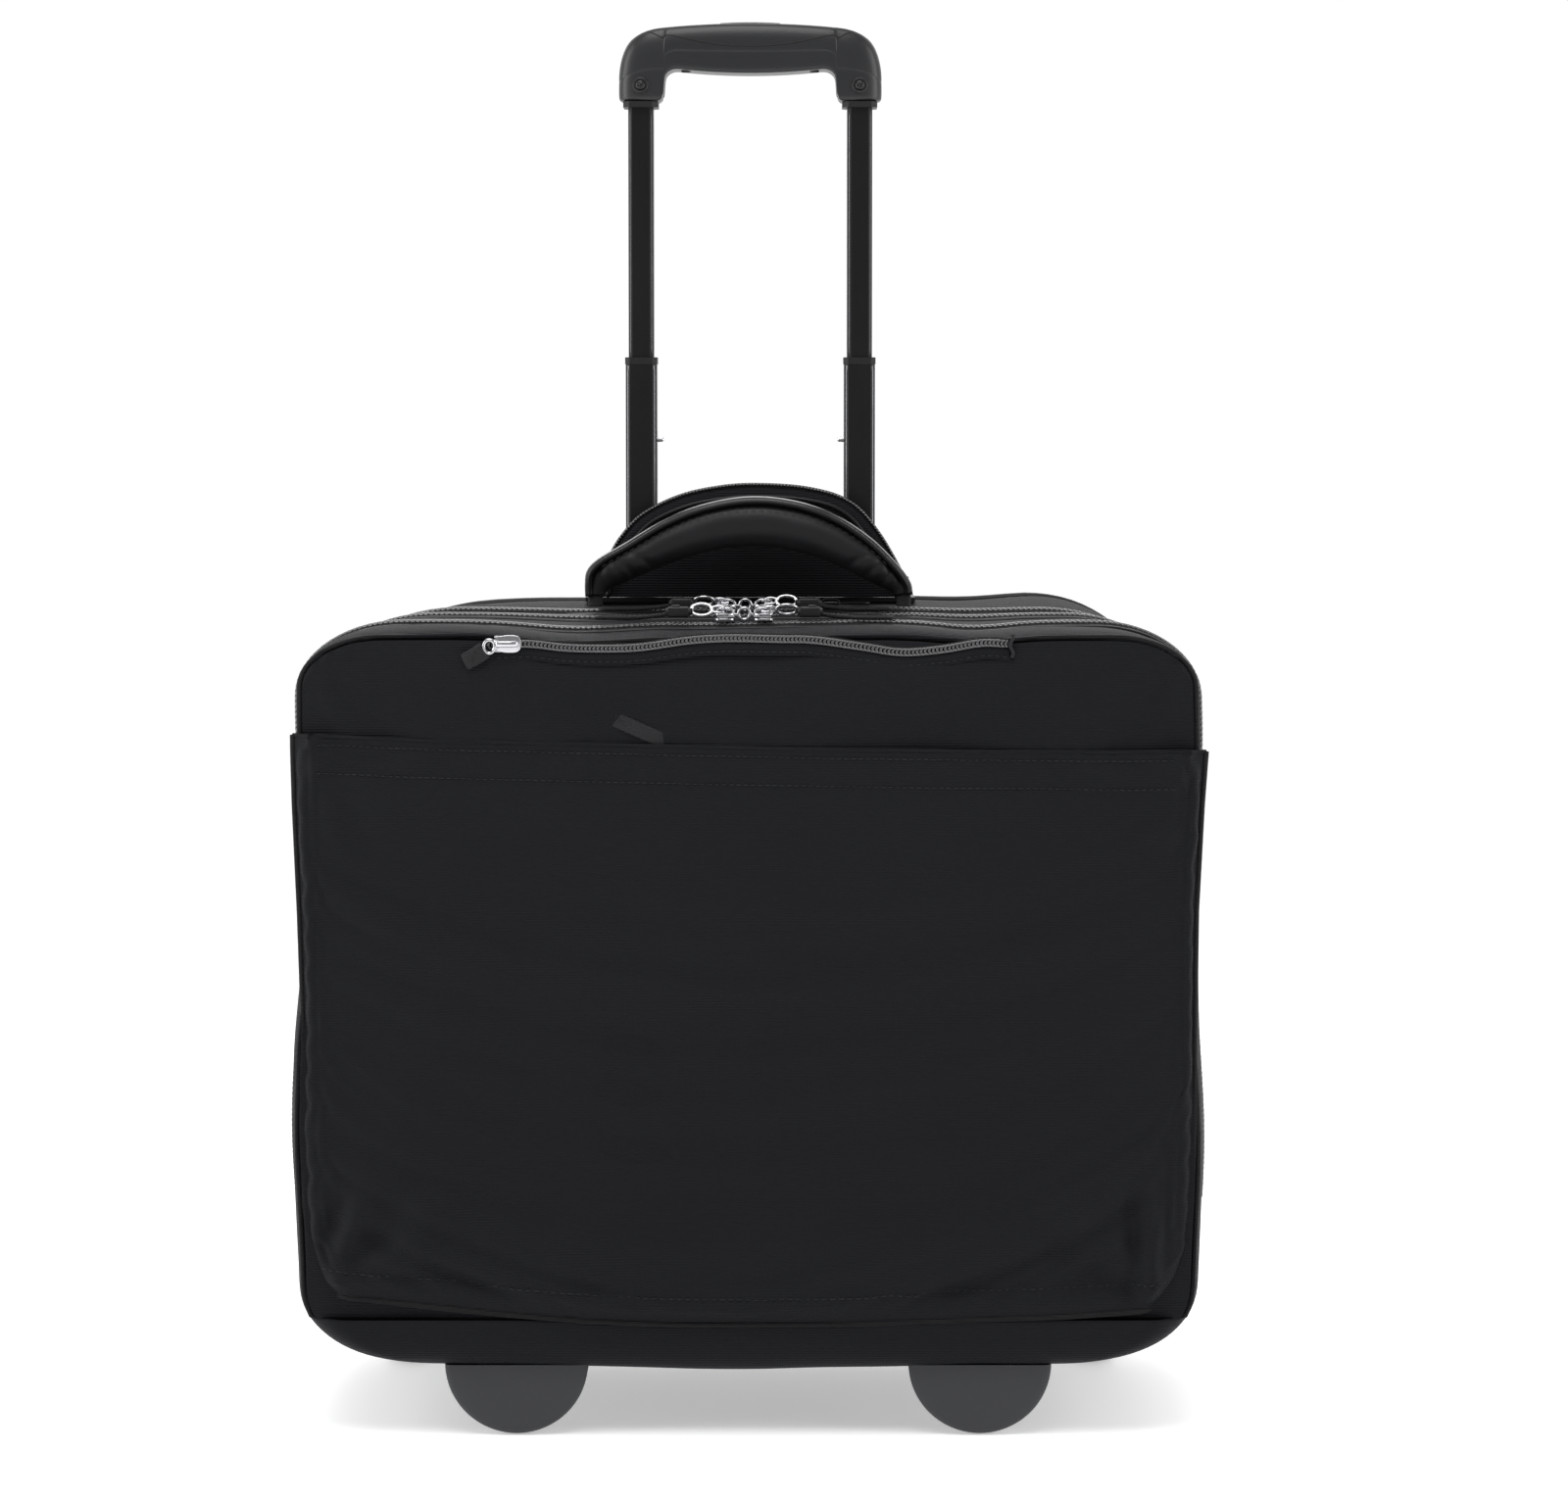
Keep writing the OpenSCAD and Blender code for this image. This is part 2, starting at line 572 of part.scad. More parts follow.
module middle_stop_right() color([0.06, 0.06, 0.06]) translate([zip_mid + 10, zip2_y, slider_z2 + 5]) stop(1);
module front_cord_left() color([0.1, 0.1, 0.1]) translate([zip_mid - 10, zip1_y, slider_z1 + 5]) loop(-1);
module front_cord_right() color([0.1, 0.1, 0.1]) translate([zip_mid + 10, zip1_y, slider_z1 + 5]) loop(1);
module middle_cord_left() color([0.1, 0.1, 0.1]) translate([zip_mid - 10, zip2_y, slider_z2 + 5]) loop(-1);
module middle_cord_right() color([0.1, 0.1, 0.1]) translate([zip_mid + 10, zip2_y, slider_z2 + 5]) loop(1);

module rear_slider() color(silver) translate([34, zip3_y - 4.5, middle_z1 + coil_h + 0.3]) {
    cube([12, 4, 2.6]);
    translate([10, 0.8, 2.5]) cube([16, 2.4, 1.2]);
}

module pocket_slider() color(silver) difference() {
    union() {
        translate([-119, face_y - 5.2, 369.2]) cube([14, 2.5, 8]);
        translate([-121.6, face_y - 4.6, 370.6]) cube([2.8, 1.4, 5.2]);
        for (z = [370.6, 374.4]) translate([-122, face_y - 4.7, z]) cube([2.4, 1.6, 1.4]);
    }
    translate([-121, face_y - 3.9, 360]) cylinder(r = 0.86, h = 30, $fn = 24);
}

module pocket_puller() color([0.12, 0.12, 0.12]) {
    translate([-121, face_y - 3.9, 367.4]) cylinder(r = 0.8, h = 11.6, $fn = 24);
    translate([-133, face_y - 4.7, 366.4]) cube([12, 1.6, 2]);
    translate([-133, face_y - 4.7, 378]) cube([12, 1.6, 1.6]);
    translate([-136, face_y - 4.9, 366.4]) cube([6, 2, 13.2]);
}

base_tray();
bottom_shell();
rear_shell();
back_board();
rear_piping();
rear_zip_half();
handle_well();
outer_tubes();
tube_foot_bracket();
wheel_housing_left();
wheel_housing_right();
axles();
front_feet();
base_screws();
tyre_left();
hub_left();
tyre_right();
hub_right();
middle_tubes();
middle_caps();
inner_tubes();
tube_collars();
grip_body();
grip_screws();
lock_bodies();
release_button();
lock_pin_left();
lock_pin_right();
hood_flap();
hood_zip();
middle_shell();
middle_zip_halves();
carry_handle();
front_shell();
front_zip_halves();
cover_shell();
cover_zip_half();
front_piping();
slip_pocket();
webbing_tabs();
pocket_zip();
front_slider_left();
front_slider_right();
middle_slider_left();
middle_slider_right();
rear_slider();
pocket_slider();
front_puller_left();
front_puller_right();
middle_puller_left();
middle_puller_right();
pocket_puller();
front_cord_left();
front_cord_right();
middle_cord_left();
middle_cord_right();
front_stop_left();
front_stop_right();
middle_stop_left();
middle_stop_right();
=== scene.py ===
import json
import math

import bmesh
import bpy
import numpy as np
from mathutils import Matrix, Vector, noise
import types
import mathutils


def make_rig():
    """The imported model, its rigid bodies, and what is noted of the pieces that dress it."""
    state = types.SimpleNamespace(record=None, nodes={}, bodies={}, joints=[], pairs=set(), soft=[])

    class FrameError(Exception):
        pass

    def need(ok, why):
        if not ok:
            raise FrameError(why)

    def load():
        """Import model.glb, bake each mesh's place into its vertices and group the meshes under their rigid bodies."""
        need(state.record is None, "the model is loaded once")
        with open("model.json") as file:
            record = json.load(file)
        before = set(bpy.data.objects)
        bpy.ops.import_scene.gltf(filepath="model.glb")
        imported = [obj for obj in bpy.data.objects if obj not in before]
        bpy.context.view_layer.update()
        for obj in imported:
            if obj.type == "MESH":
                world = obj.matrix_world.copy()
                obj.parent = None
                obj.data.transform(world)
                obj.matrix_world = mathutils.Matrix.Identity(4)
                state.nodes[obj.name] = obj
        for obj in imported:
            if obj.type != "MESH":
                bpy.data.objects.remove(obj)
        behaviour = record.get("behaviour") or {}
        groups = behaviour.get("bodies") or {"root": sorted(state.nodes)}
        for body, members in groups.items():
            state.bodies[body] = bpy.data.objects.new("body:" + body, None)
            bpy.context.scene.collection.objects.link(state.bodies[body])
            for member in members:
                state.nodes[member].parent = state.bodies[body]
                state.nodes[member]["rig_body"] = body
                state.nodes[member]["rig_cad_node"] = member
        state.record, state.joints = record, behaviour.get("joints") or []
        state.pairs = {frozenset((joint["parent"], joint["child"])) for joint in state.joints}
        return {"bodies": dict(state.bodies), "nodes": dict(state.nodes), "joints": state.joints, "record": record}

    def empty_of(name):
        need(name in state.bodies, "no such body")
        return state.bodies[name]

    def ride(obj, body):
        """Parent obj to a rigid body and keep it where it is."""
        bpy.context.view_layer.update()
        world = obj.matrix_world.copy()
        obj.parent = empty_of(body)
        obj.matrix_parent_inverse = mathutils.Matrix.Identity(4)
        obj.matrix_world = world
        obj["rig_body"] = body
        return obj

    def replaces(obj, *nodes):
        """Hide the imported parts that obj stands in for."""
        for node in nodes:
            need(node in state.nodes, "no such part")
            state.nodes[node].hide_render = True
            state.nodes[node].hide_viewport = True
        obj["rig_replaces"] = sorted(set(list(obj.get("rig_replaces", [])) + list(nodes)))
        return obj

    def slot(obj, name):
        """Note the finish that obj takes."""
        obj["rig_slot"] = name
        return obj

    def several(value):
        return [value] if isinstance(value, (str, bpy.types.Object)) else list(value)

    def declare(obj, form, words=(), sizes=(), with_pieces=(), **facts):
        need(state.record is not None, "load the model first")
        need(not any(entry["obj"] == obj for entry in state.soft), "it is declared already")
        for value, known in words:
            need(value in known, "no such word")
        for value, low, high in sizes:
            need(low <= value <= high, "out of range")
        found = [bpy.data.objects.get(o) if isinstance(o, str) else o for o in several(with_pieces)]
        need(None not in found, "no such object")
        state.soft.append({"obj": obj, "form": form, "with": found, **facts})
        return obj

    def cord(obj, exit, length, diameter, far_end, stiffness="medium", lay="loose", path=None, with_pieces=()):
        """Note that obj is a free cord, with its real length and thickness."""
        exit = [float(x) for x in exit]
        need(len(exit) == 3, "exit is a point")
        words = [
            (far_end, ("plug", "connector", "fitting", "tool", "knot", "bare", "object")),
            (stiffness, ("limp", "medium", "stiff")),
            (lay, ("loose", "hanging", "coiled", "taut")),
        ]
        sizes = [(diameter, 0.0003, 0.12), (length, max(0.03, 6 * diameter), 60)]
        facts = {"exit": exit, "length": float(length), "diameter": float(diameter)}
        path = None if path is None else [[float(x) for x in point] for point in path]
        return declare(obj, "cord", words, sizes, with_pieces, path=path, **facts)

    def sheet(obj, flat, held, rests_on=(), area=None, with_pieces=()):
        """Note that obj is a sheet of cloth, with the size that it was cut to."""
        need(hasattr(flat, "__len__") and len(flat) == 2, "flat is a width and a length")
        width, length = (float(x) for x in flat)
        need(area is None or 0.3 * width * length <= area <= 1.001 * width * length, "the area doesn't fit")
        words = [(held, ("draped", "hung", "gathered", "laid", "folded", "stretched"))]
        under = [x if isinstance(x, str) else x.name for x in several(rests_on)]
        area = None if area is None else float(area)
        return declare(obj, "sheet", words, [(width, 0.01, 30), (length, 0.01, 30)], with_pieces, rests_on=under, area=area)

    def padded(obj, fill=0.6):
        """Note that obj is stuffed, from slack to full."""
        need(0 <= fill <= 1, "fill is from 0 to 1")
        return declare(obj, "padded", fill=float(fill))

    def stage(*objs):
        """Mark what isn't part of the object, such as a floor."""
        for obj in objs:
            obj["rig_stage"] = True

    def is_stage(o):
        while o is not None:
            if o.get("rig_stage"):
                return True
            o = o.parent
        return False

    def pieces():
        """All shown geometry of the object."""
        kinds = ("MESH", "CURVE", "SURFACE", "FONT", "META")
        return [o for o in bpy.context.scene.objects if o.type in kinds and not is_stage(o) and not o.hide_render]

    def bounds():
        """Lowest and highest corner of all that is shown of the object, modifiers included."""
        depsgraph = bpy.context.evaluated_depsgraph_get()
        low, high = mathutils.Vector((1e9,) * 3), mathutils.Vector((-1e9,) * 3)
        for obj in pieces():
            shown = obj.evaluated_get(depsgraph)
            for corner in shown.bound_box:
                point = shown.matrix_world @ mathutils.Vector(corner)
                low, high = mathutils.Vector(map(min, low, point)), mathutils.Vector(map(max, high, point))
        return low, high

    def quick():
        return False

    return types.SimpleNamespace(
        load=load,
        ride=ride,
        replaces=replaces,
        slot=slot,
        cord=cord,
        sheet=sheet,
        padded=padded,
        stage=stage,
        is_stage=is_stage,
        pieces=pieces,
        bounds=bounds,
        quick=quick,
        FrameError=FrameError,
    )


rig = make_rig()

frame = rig.load()
CAD_BOX = [[float(v) for v in c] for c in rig.bounds()]
scene = bpy.context.scene
MM = 0.001

# ------------------------------------------------------------------ camera
cam_data = bpy.data.cameras.new("camera")
cam_data.sensor_fit = "HORIZONTAL"
cam_data.sensor_width = 36.0
cam_data.lens = 102.98
cam_data.clip_start = 0.05
cam_data.clip_end = 60
cam = bpy.data.objects.new("camera", cam_data)
scene.collection.objects.link(cam)
cam.location = (0.017, -2.2, 0.495)
cam.rotation_euler = (math.radians(90 - 3.6), 0, 0)
cam_data.shift_y = -0.05
scene.camera = cam


# ------------------------------------------------------------------ mesh helpers
def add(name, verts, faces, mat, body=None, slot=None, replaces=(), smooth=True, solid=0.0, sub=0):
    me = bpy.data.meshes.new(name)
    me.from_pydata([tuple(v) for v in np.asarray(verts, float) * MM], [], [tuple(int(i) for i in f) for f in faces])
    me.validate()
    me.update()
    ob = bpy.data.objects.new(name, me)
    scene.collection.objects.link(ob)
    me.materials.append(mat)
    if smooth:
        for p in me.polygons:
            p.use_smooth = True
    if solid:
        m = ob.modifiers.new("thick", "SOLIDIFY")
        m.thickness = abs(solid) * MM
        m.offset = -1 if solid > 0 else 1
        m.use_even_offset = True
        apply_all(ob)
    if sub:
        m = ob.modifiers.new("sub", "SUBSURF")
        m.levels = m.render_levels = sub
        apply_all(ob)
    if body:
        finish_piece(ob, body, slot, replaces)
    return ob


def finish_piece(ob, body, slot=None, replaces=()):
    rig.ride(ob, body)
    if slot:
        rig.slot(ob, slot)
    if replaces:
        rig.replaces(ob, *replaces)
    return ob


def apply_all(ob):
    bpy.context.view_layer.update()
    dg = bpy.context.evaluated_depsgraph_get()
    me = bpy.data.meshes.new_from_object(ob.evaluated_get(dg))
    old = ob.data
    ob.modifiers.clear()
    ob.data = me
    me.name = ob.name
    bpy.data.meshes.remove(old)
    for p in me.polygons:
        p.use_smooth = True


def recalc(ob):
    bm = bmesh.new()
    bm.from_mesh(ob.data)
    bmesh.ops.recalc_face_normals(bm, faces=bm.faces)
    bm.to_mesh(ob.data)
    bm.free()


def join(parts):
    """parts: list of (verts, faces) -> one"""
    V, F, n = [], [], 0
    for v, f in parts:
        v = np.asarray(v, float)
        V.append(v)
        F += [[i + n for i in q] for q in f]
        n += len(v)
    return np.concatenate(V), F


def grid(P, close_u=False, close_v=False, flip=False):
    """P: array (nu, nv, 3)"""
    P = np.asarray(P, float)
    nu, nv = P.shape[:2]
    F = []
    for i in range(nu if close_u else nu - 1):
        for j in range(nv if close_v else nv - 1):
            a, b = i * nv + j, ((i + 1) % nu) * nv + j
            c, d = ((i + 1) % nu) * nv + (j + 1) % nv, i * nv + (j + 1) % nv
            F.append([a, d, c, b] if flip else [a, b, c, d])
    return P.reshape(-1, 3), F


def frames(P, closed=False, up=(0, 0, 1)):
    P = np.asarray(P, float)
    if closed:
        T = np.roll(P, -1, 0) - np.roll(P, 1, 0)
    else:
        T = np.gradient(P, axis=0)
    T /= np.linalg.norm(T, axis=1)[:, None] + 1e-12
    N = np.zeros_like(T)
    u = np.array(up, float)
    u = u - T[0] * (u @ T[0])
    if np.linalg.norm(u) < 1e-3:
        u = np.array([1.0, 0, 0]) - T[0] * T[0][0]
    u /= np.linalg.norm(u)
    for i in range(len(P)):
        u = u - T[i] * (u @ T[i])
        u /= np.linalg.norm(u) + 1e-12
        N[i] = u
    return T, N, np.cross(T, N)


def sweep(P, r, n=10, closed=False, up=(0, 0, 1), rx=None, caps=True, taper=None):
    """round or oval tube along P, radius r (and rx sideways)"""
    P = np.asarray(P, float)
    T, N, B = frames(P, closed, up)
    a = np.linspace(0, 2 * math.pi, n, endpoint=False)
    rx = r if rx is None else rx
    k = np.ones(len(P)) if taper is None else np.asarray(taper, float)
    R = P[:, None] + k[:, None, None] * (r * np.sin(a)[None, :, None] * N[:, None] + rx * np.cos(a)[None, :, None] * B[:, None])
    V, F = grid(R, close_u=closed, close_v=True)
    if caps and not closed:
        m = len(P)
        F.append(list(range(n))[::-1] if False else list(range(n)))
        F.append([(m - 1) * n + i for i in range(n)][::-1])
    return V, F


def box_round(lo, hi, r, seg=3):
    """a box with rounded edges"""
    bm = bmesh.new()
    bmesh.ops.create_cube(bm, size=1)
    lo, hi = Vector(lo), Vector(hi)
    for v in bm.verts:
        v.co = Vector([lo[i] + (v.co[i] + 0.5) * (hi[i] - lo[i]) for i in range(3)])
    bmesh.ops.bevel(bm, geom=list(bm.edges), offset=r, segments=seg, profile=0.5, affect="EDGES")
    bm.verts.index_update()
    V = [tuple(v.co) for v in bm.verts]
    F = [[v.index for v in f.verts] for f in bm.faces]
    bm.free()
    return np.array(V), F


def plate(pts, z0, z1, bevel=0.3, seg=2, holes=()):
    """a flat plate of an outline in XY with bevelled edges; holes are outlines too"""
    bm = bmesh.new()
    loops = [pts, *holes]
    edges = []
    for lp in loops:
        vs = [bm.verts.new((x, y, z0)) for x, y in lp]
        for i in range(len(vs)):
            edges.append(bm.edges.new((vs[i], vs[(i + 1) % len(vs)])))
    bmesh.ops.triangle_fill(bm, use_beauty=True, use_dissolve=False, edges=edges)
    bmesh.ops.recalc_face_normals(bm, faces=bm.faces)
    if bm.faces and sum(f.normal.z for f in bm.faces) > 0:
        bmesh.ops.reverse_faces(bm, faces=bm.faces)
    r = bmesh.ops.extrude_face_region(bm, geom=list(bm.faces))
    for v in [g for g in r["geom"] if isinstance(g, bmesh.types.BMVert)]:
        v.co.z = z1
    bmesh.ops.recalc_face_normals(bm, faces=bm.faces)
    if bevel:
        sharp = [e for e in bm.edges if len(e.link_faces) == 2 and e.calc_face_angle(0) > 0.9 and abs(e.verts[0].co.z - e.verts[1].co.z) < 1e-6]
        bmesh.ops.bevel(bm, geom=sharp, offset=bevel, segments=seg, profile=0.5, affect="EDGES", clamp_overlap=True)
    bm.verts.index_update()
    V = [tuple(v.co) for v in bm.verts]
    F = [[v.index for v in f.verts] for f in bm.faces]
    bm.free()
    return np.array(V), F


def circle(r, n=24, c=(0, 0), rx=None):
    return [(c[0] + (rx or r) * math.cos(2 * math.pi * i / n), c[1] + r * math.sin(2 * math.pi * i / n)) for i in range(n)]


def torus(c, R, r, n=28, m=10, axis="z", Rx=None, flat=1.0):
    V = np.zeros((n, m, 3))
    for i in range(n):
        a = 2 * math.pi * i / n
        for j in range(m):
            b = 2 * math.pi * j / m
            rr = r * math.cos(b)
            V[i, j] = (((Rx or R) + rr) * math.cos(a), (R + rr) * math.sin(a), r * flat * math.sin(b))
    if axis == "y":
        V = V[..., [0, 2, 1]]
    if axis == "x":
        V = V[..., [2, 0, 1]]
    v, f = grid(V + np.array(c), close_u=True, close_v=True, flip=(axis == "y"))
    return v, f


def lathe(profile, n=48, axis="x", c=(0, 0, 0)):
    """profile: list of (r, t) round the axis"""
    P = np.zeros((n, len(profile), 3))
    for i in range(n):
        a = 2 * math.pi * i / n
        for j, (r, t) in enumerate(profile):
            if axis == "x":
                P[i, j] = (t, r * math.cos(a), r * math.sin(a))
            elif axis == "y":
                P[i, j] = (r * math.sin(a), t, r * math.cos(a))
            else:
                P[i, j] = (r * math.cos(a), r * math.sin(a), t)
    return grid(P + np.array(c), close_u=True)


def moved(vf, d=(0, 0, 0), rot=None, mirror_x=False, scale=1.0):
    v, f = vf
    v = np.array(v, float) * scale
    if rot is not None:
        v = v @ np.array(rot).T
    if mirror_x:
        v = v * np.array([-1, 1, 1])
        f = [q[::-1] for q in f]
    return v + np.array(d, float), f


def resample(P, step):
    P = np.asarray(P, float)
    L = np.r_[0, np.cumsum(np.linalg.norm(np.diff(P, axis=0), axis=1))]
    n = max(2, int(round(L[-1] / step)) + 1)
    s = np.linspace(0, L[-1], n)
    return np.stack([np.interp(s, L, P[:, k]) for k in range(3)], 1)


def catmull(P, n=8, closed=False):
    P = np.asarray(P, float)
    m = len(P)
    out = []
    rng = range(m if closed else m - 1)
    for i in rng:
        p0 = P[(i - 1) % m] if closed or i > 0 else 2 * P[0] - P[1]
        p1, p2 = P[i], P[(i + 1) % m]
        p3 = P[(i + 2) % m] if closed or i + 2 < m else 2 * P[-1] - P[-2]
        for k in range(n):
            t = k / n
            out.append(0.5 * (2 * p1 + (p2 - p0) * t + (2 * p0 - 5 * p1 + 4 * p2 - p3) * t * t + (3 * p1 - p0 - 3 * p2 + p3) * t ** 3))
    if not closed:
        out.append(P[-1])
    return np.array(out)


def sm(t):
    t = np.clip(t, 0, 1)
    return t * t * (3 - 2 * t)


def nz(p, s, seed=0.0):
    return noise.noise(Vector((p[0] * s + seed, p[1] * s + seed * 1.7, p[2] * s - seed)))


def nzv(P, s, seed=0.0, stretch=(1, 1, 1)):
    return np.array([noise.noise(Vector((p[0] * s * stretch[0] + seed, p[1] * s * stretch[1] + seed * 1.7, p[2] * s * stretch[2] - seed))) for p in P])


# ------------------------------------------------------------------ materials
def nodes_of(mat):
    nt = mat.node_tree
    for n in list(nt.nodes):
        nt.nodes.remove(n)
    out = nt.nodes.new("ShaderNodeOutputMaterial")
    b = nt.nodes.new("ShaderNodeBsdfPrincipled")
    nt.links.new(b.outputs[0], out.inputs[0])
    return nt, b


def M(nt, op, a, b=None, c=None, clamp=False):
    n = nt.nodes.new("ShaderNodeMath")
    n.operation = op
    n.use_clamp = clamp
    for i, v in enumerate((a, b, c)):
        if v is None:
            continue
        if isinstance(v, (int, float)):
            n.inputs[i].default_value = v
        else:
            nt.links.new(v, n.inputs[i])
    return n.outputs[0]


def tex_noise(nt, vec, scale, detail=4, rough=0.55):
    n = nt.nodes.new("ShaderNodeTexNoise")
    n.inputs["Scale"].default_value = scale
    n.inputs["Detail"].default_value = detail
    n.inputs["Roughness"].default_value = rough
    nt.links.new(vec, n.inputs["Vector"])
    return n.outputs["Fac"]


def scaled(nt, vec, s):
    n = nt.nodes.new("ShaderNodeVectorMath")
    n.operation = "MULTIPLY"
    n.inputs[1].default_value = s
    nt.links.new(vec, n.inputs[0])
    return n.outputs[0]


def ramp_color(nt, fac, c0, c1):
    n = nt.nodes.new("ShaderNodeMix")
    n.data_type = "RGBA"
    nt.links.new(fac, n.inputs["Factor"])
    n.inputs["A"].default_value = (*c0, 1)
    n.inputs["B"].default_value = (*c1, 1)
    return n.outputs["Result"]


def ramp_val(nt, fac, a, b):
    n = nt.nodes.new("ShaderNodeMapRange")
    n.inputs["To Min"].default_value = a
    n.inputs["To Max"].default_value = b
    nt.links.new(fac, n.inputs["Value"])
    return n.outputs["Result"]


def bump(nt, h, dist, strength=1.0, prev=None):
    n = nt.nodes.new("ShaderNodeBump")
    n.inputs["Distance"].default_value = dist
    n.inputs["Strength"].default_value = strength
    nt.links.new(h, n.inputs["Height"])
    if prev is not None:
        nt.links.new(prev, n.inputs["Normal"])
    return n.outputs["Normal"]


def fabric(name, base, rough=0.6, rib=0.00125, depth=0.0003, sheen=0.02, vary=0.2, sheen_rough=0.35, spec=0.1):
    """woven nylon with fine cross ribs: ribs run level on upright faces and across on level ones"""
    mat = bpy.data.materials.new(name)
    mat.use_nodes = True
    nt, b = nodes_of(mat)
    tc = nt.nodes.new("ShaderNodeTexCoord")
    sep = nt.nodes.new("ShaderNodeSeparateXYZ")
    nt.links.new(tc.outputs["Object"], sep.inputs[0])
    sepn = nt.nodes.new("ShaderNodeSeparateXYZ")
    nt.links.new(tc.outputs["Normal"], sepn.inputs[0])
    flat = M(nt, "GREATER_THAN", M(nt, "ABSOLUTE", sepn.outputs[2]), 0.78)
    # wandering threads
    wob = tex_noise(nt, tc.outputs["Object"], 60, 2)
    t = M(nt, "ADD", M(nt, "MULTIPLY", sep.outputs[2], M(nt, "SUBTRACT", 1.0, flat)), M(nt, "MULTIPLY", sep.outputs[1], flat))
    t = M(nt, "ADD", t, M(nt, "MULTIPLY", wob, 0.0006))
    ribs = M(nt, "MULTIPLY_ADD", M(nt, "SINE", M(nt, "MULTIPLY", t, 2 * math.pi / rib)), 0.5, 0.5)
    # threads across the ribs
    warp = M(nt, "MULTIPLY_ADD", M(nt, "SINE", M(nt, "MULTIPLY", sep.outputs[0], 2 * math.pi / (rib * 0.62))), 0.5, 0.5)
    slub = tex_noise(nt, scaled(nt, tc.outputs["Object"], (220, 220, 1500)), 1.0, 3)
    fine = tex_noise(nt, tc.outputs["Object"], 1400, 2)
    h = M(nt, "ADD", M(nt, "MULTIPLY", ribs, 0.7), M(nt, "ADD", M(nt, "MULTIPLY", warp, 0.18), M(nt, "ADD", M(nt, "MULTIPLY", slub, 0.18), M(nt, "MULTIPLY", fine, 0.15))))
    big = tex_noise(nt, tc.outputs["Object"], 9, 3)
    col = M(nt, "ADD", M(nt, "MULTIPLY", big, 0.6), M(nt, "ADD", M(nt, "MULTIPLY", ribs, 0.22), M(nt, "MULTIPLY", slub, 0.3)), clamp=True)
    lo = [c * (1 - vary) for c in base]
    hi = [c * (1 + vary * 1.4) for c in base]
    nt.links.new(ramp_color(nt, col, lo, hi), b.inputs["Base Color"])
    nt.links.new(ramp_val(nt, M(nt, "ADD", M(nt, "MULTIPLY", big, 0.5), M(nt, "MULTIPLY", slub, 0.5)), rough - 0.07, rough + 0.09), b.inputs["Roughness"])
    b.inputs["Specular IOR Level"].default_value = spec
    b.inputs["Sheen Weight"].default_value = sheen
    b.inputs["Sheen Roughness"].default_value = sheen_rough
    b.inputs["Sheen Tint"].default_value = (0.85, 0.87, 0.95, 1)
    soft = tex_noise(nt, tc.outputs["Object"], 38, 2)
    n1 = bump(nt, soft, 0.0009, 0.35)
    nt.links.new(bump(nt, h, depth, 0.9, n1), b.inputs["Normal"])
    return mat


def plastic(name, base, rough=0.42, grain=0.00004, spec=0.3, coat=0.0, gscale=900, vary=0.1, scratch=0.04):
    mat = bpy.data.materials.new(name)
    mat.use_nodes = True
    nt, b = nodes_of(mat)
    tc = nt.nodes.new("ShaderNodeTexCoord")
    g = tex_noise(nt, tc.outputs["Object"], gscale, 2)
    big = tex_noise(nt, tc.outputs["Object"], 22, 4)
    nt.links.new(ramp_color(nt, big, [c * (1 - vary) for c in base], [c * (1 + vary) for c in base]), b.inputs["Base Color"])
    nt.links.new(ramp_val(nt, M(nt, "ADD", M(nt, "MULTIPLY", big, 0.6), M(nt, "MULTIPLY", g, 0.4)), rough - scratch, rough + scratch * 1.6), b.inputs["Roughness"])
    b.inputs["Specular IOR Level"].default_value = spec
    b.inputs["Coat Weight"].default_value = coat
    b.inputs["Coat Roughness"].default_value = 0.2
    nt.links.new(bump(nt, g, grain, 0.8), b.inputs["Normal"])
    return mat


def metal(name, base, rough=0.22, brushed=None, vary=0.08, spec=0.5, metallic=1.0):
    mat = bpy.data.materials.new(name)
    mat.use_nodes = True
    nt, b = nodes_of(mat)
    tc = nt.nodes.new("ShaderNodeTexCoord")
    v = scaled(nt, tc.outputs["Object"], brushed) if brushed else tc.outputs["Object"]
    g = tex_noise(nt, v, 1.0 if brushed else 320, 3)
    big = tex_noise(nt, tc.outputs["Object"], 30, 3)
    nt.links.new(ramp_color(nt, big, [c * (1 - vary) for c in base], [min(1, c * (1 + vary)) for c in base]), b.inputs["Base Color"])
    nt.links.new(ramp_val(nt, M(nt, "ADD", M(nt, "MULTIPLY", g, 0.6), M(nt, "MULTIPLY", big, 0.4)), rough * 0.7, rough * 1.35), b.inputs["Roughness"])
    b.inputs["Metallic"].default_value = metallic
    b.inputs["Specular IOR Level"].default_value = spec
    nt.links.new(bump(nt, g, 0.00002, 0.6), b.inputs["Normal"])
    return mat


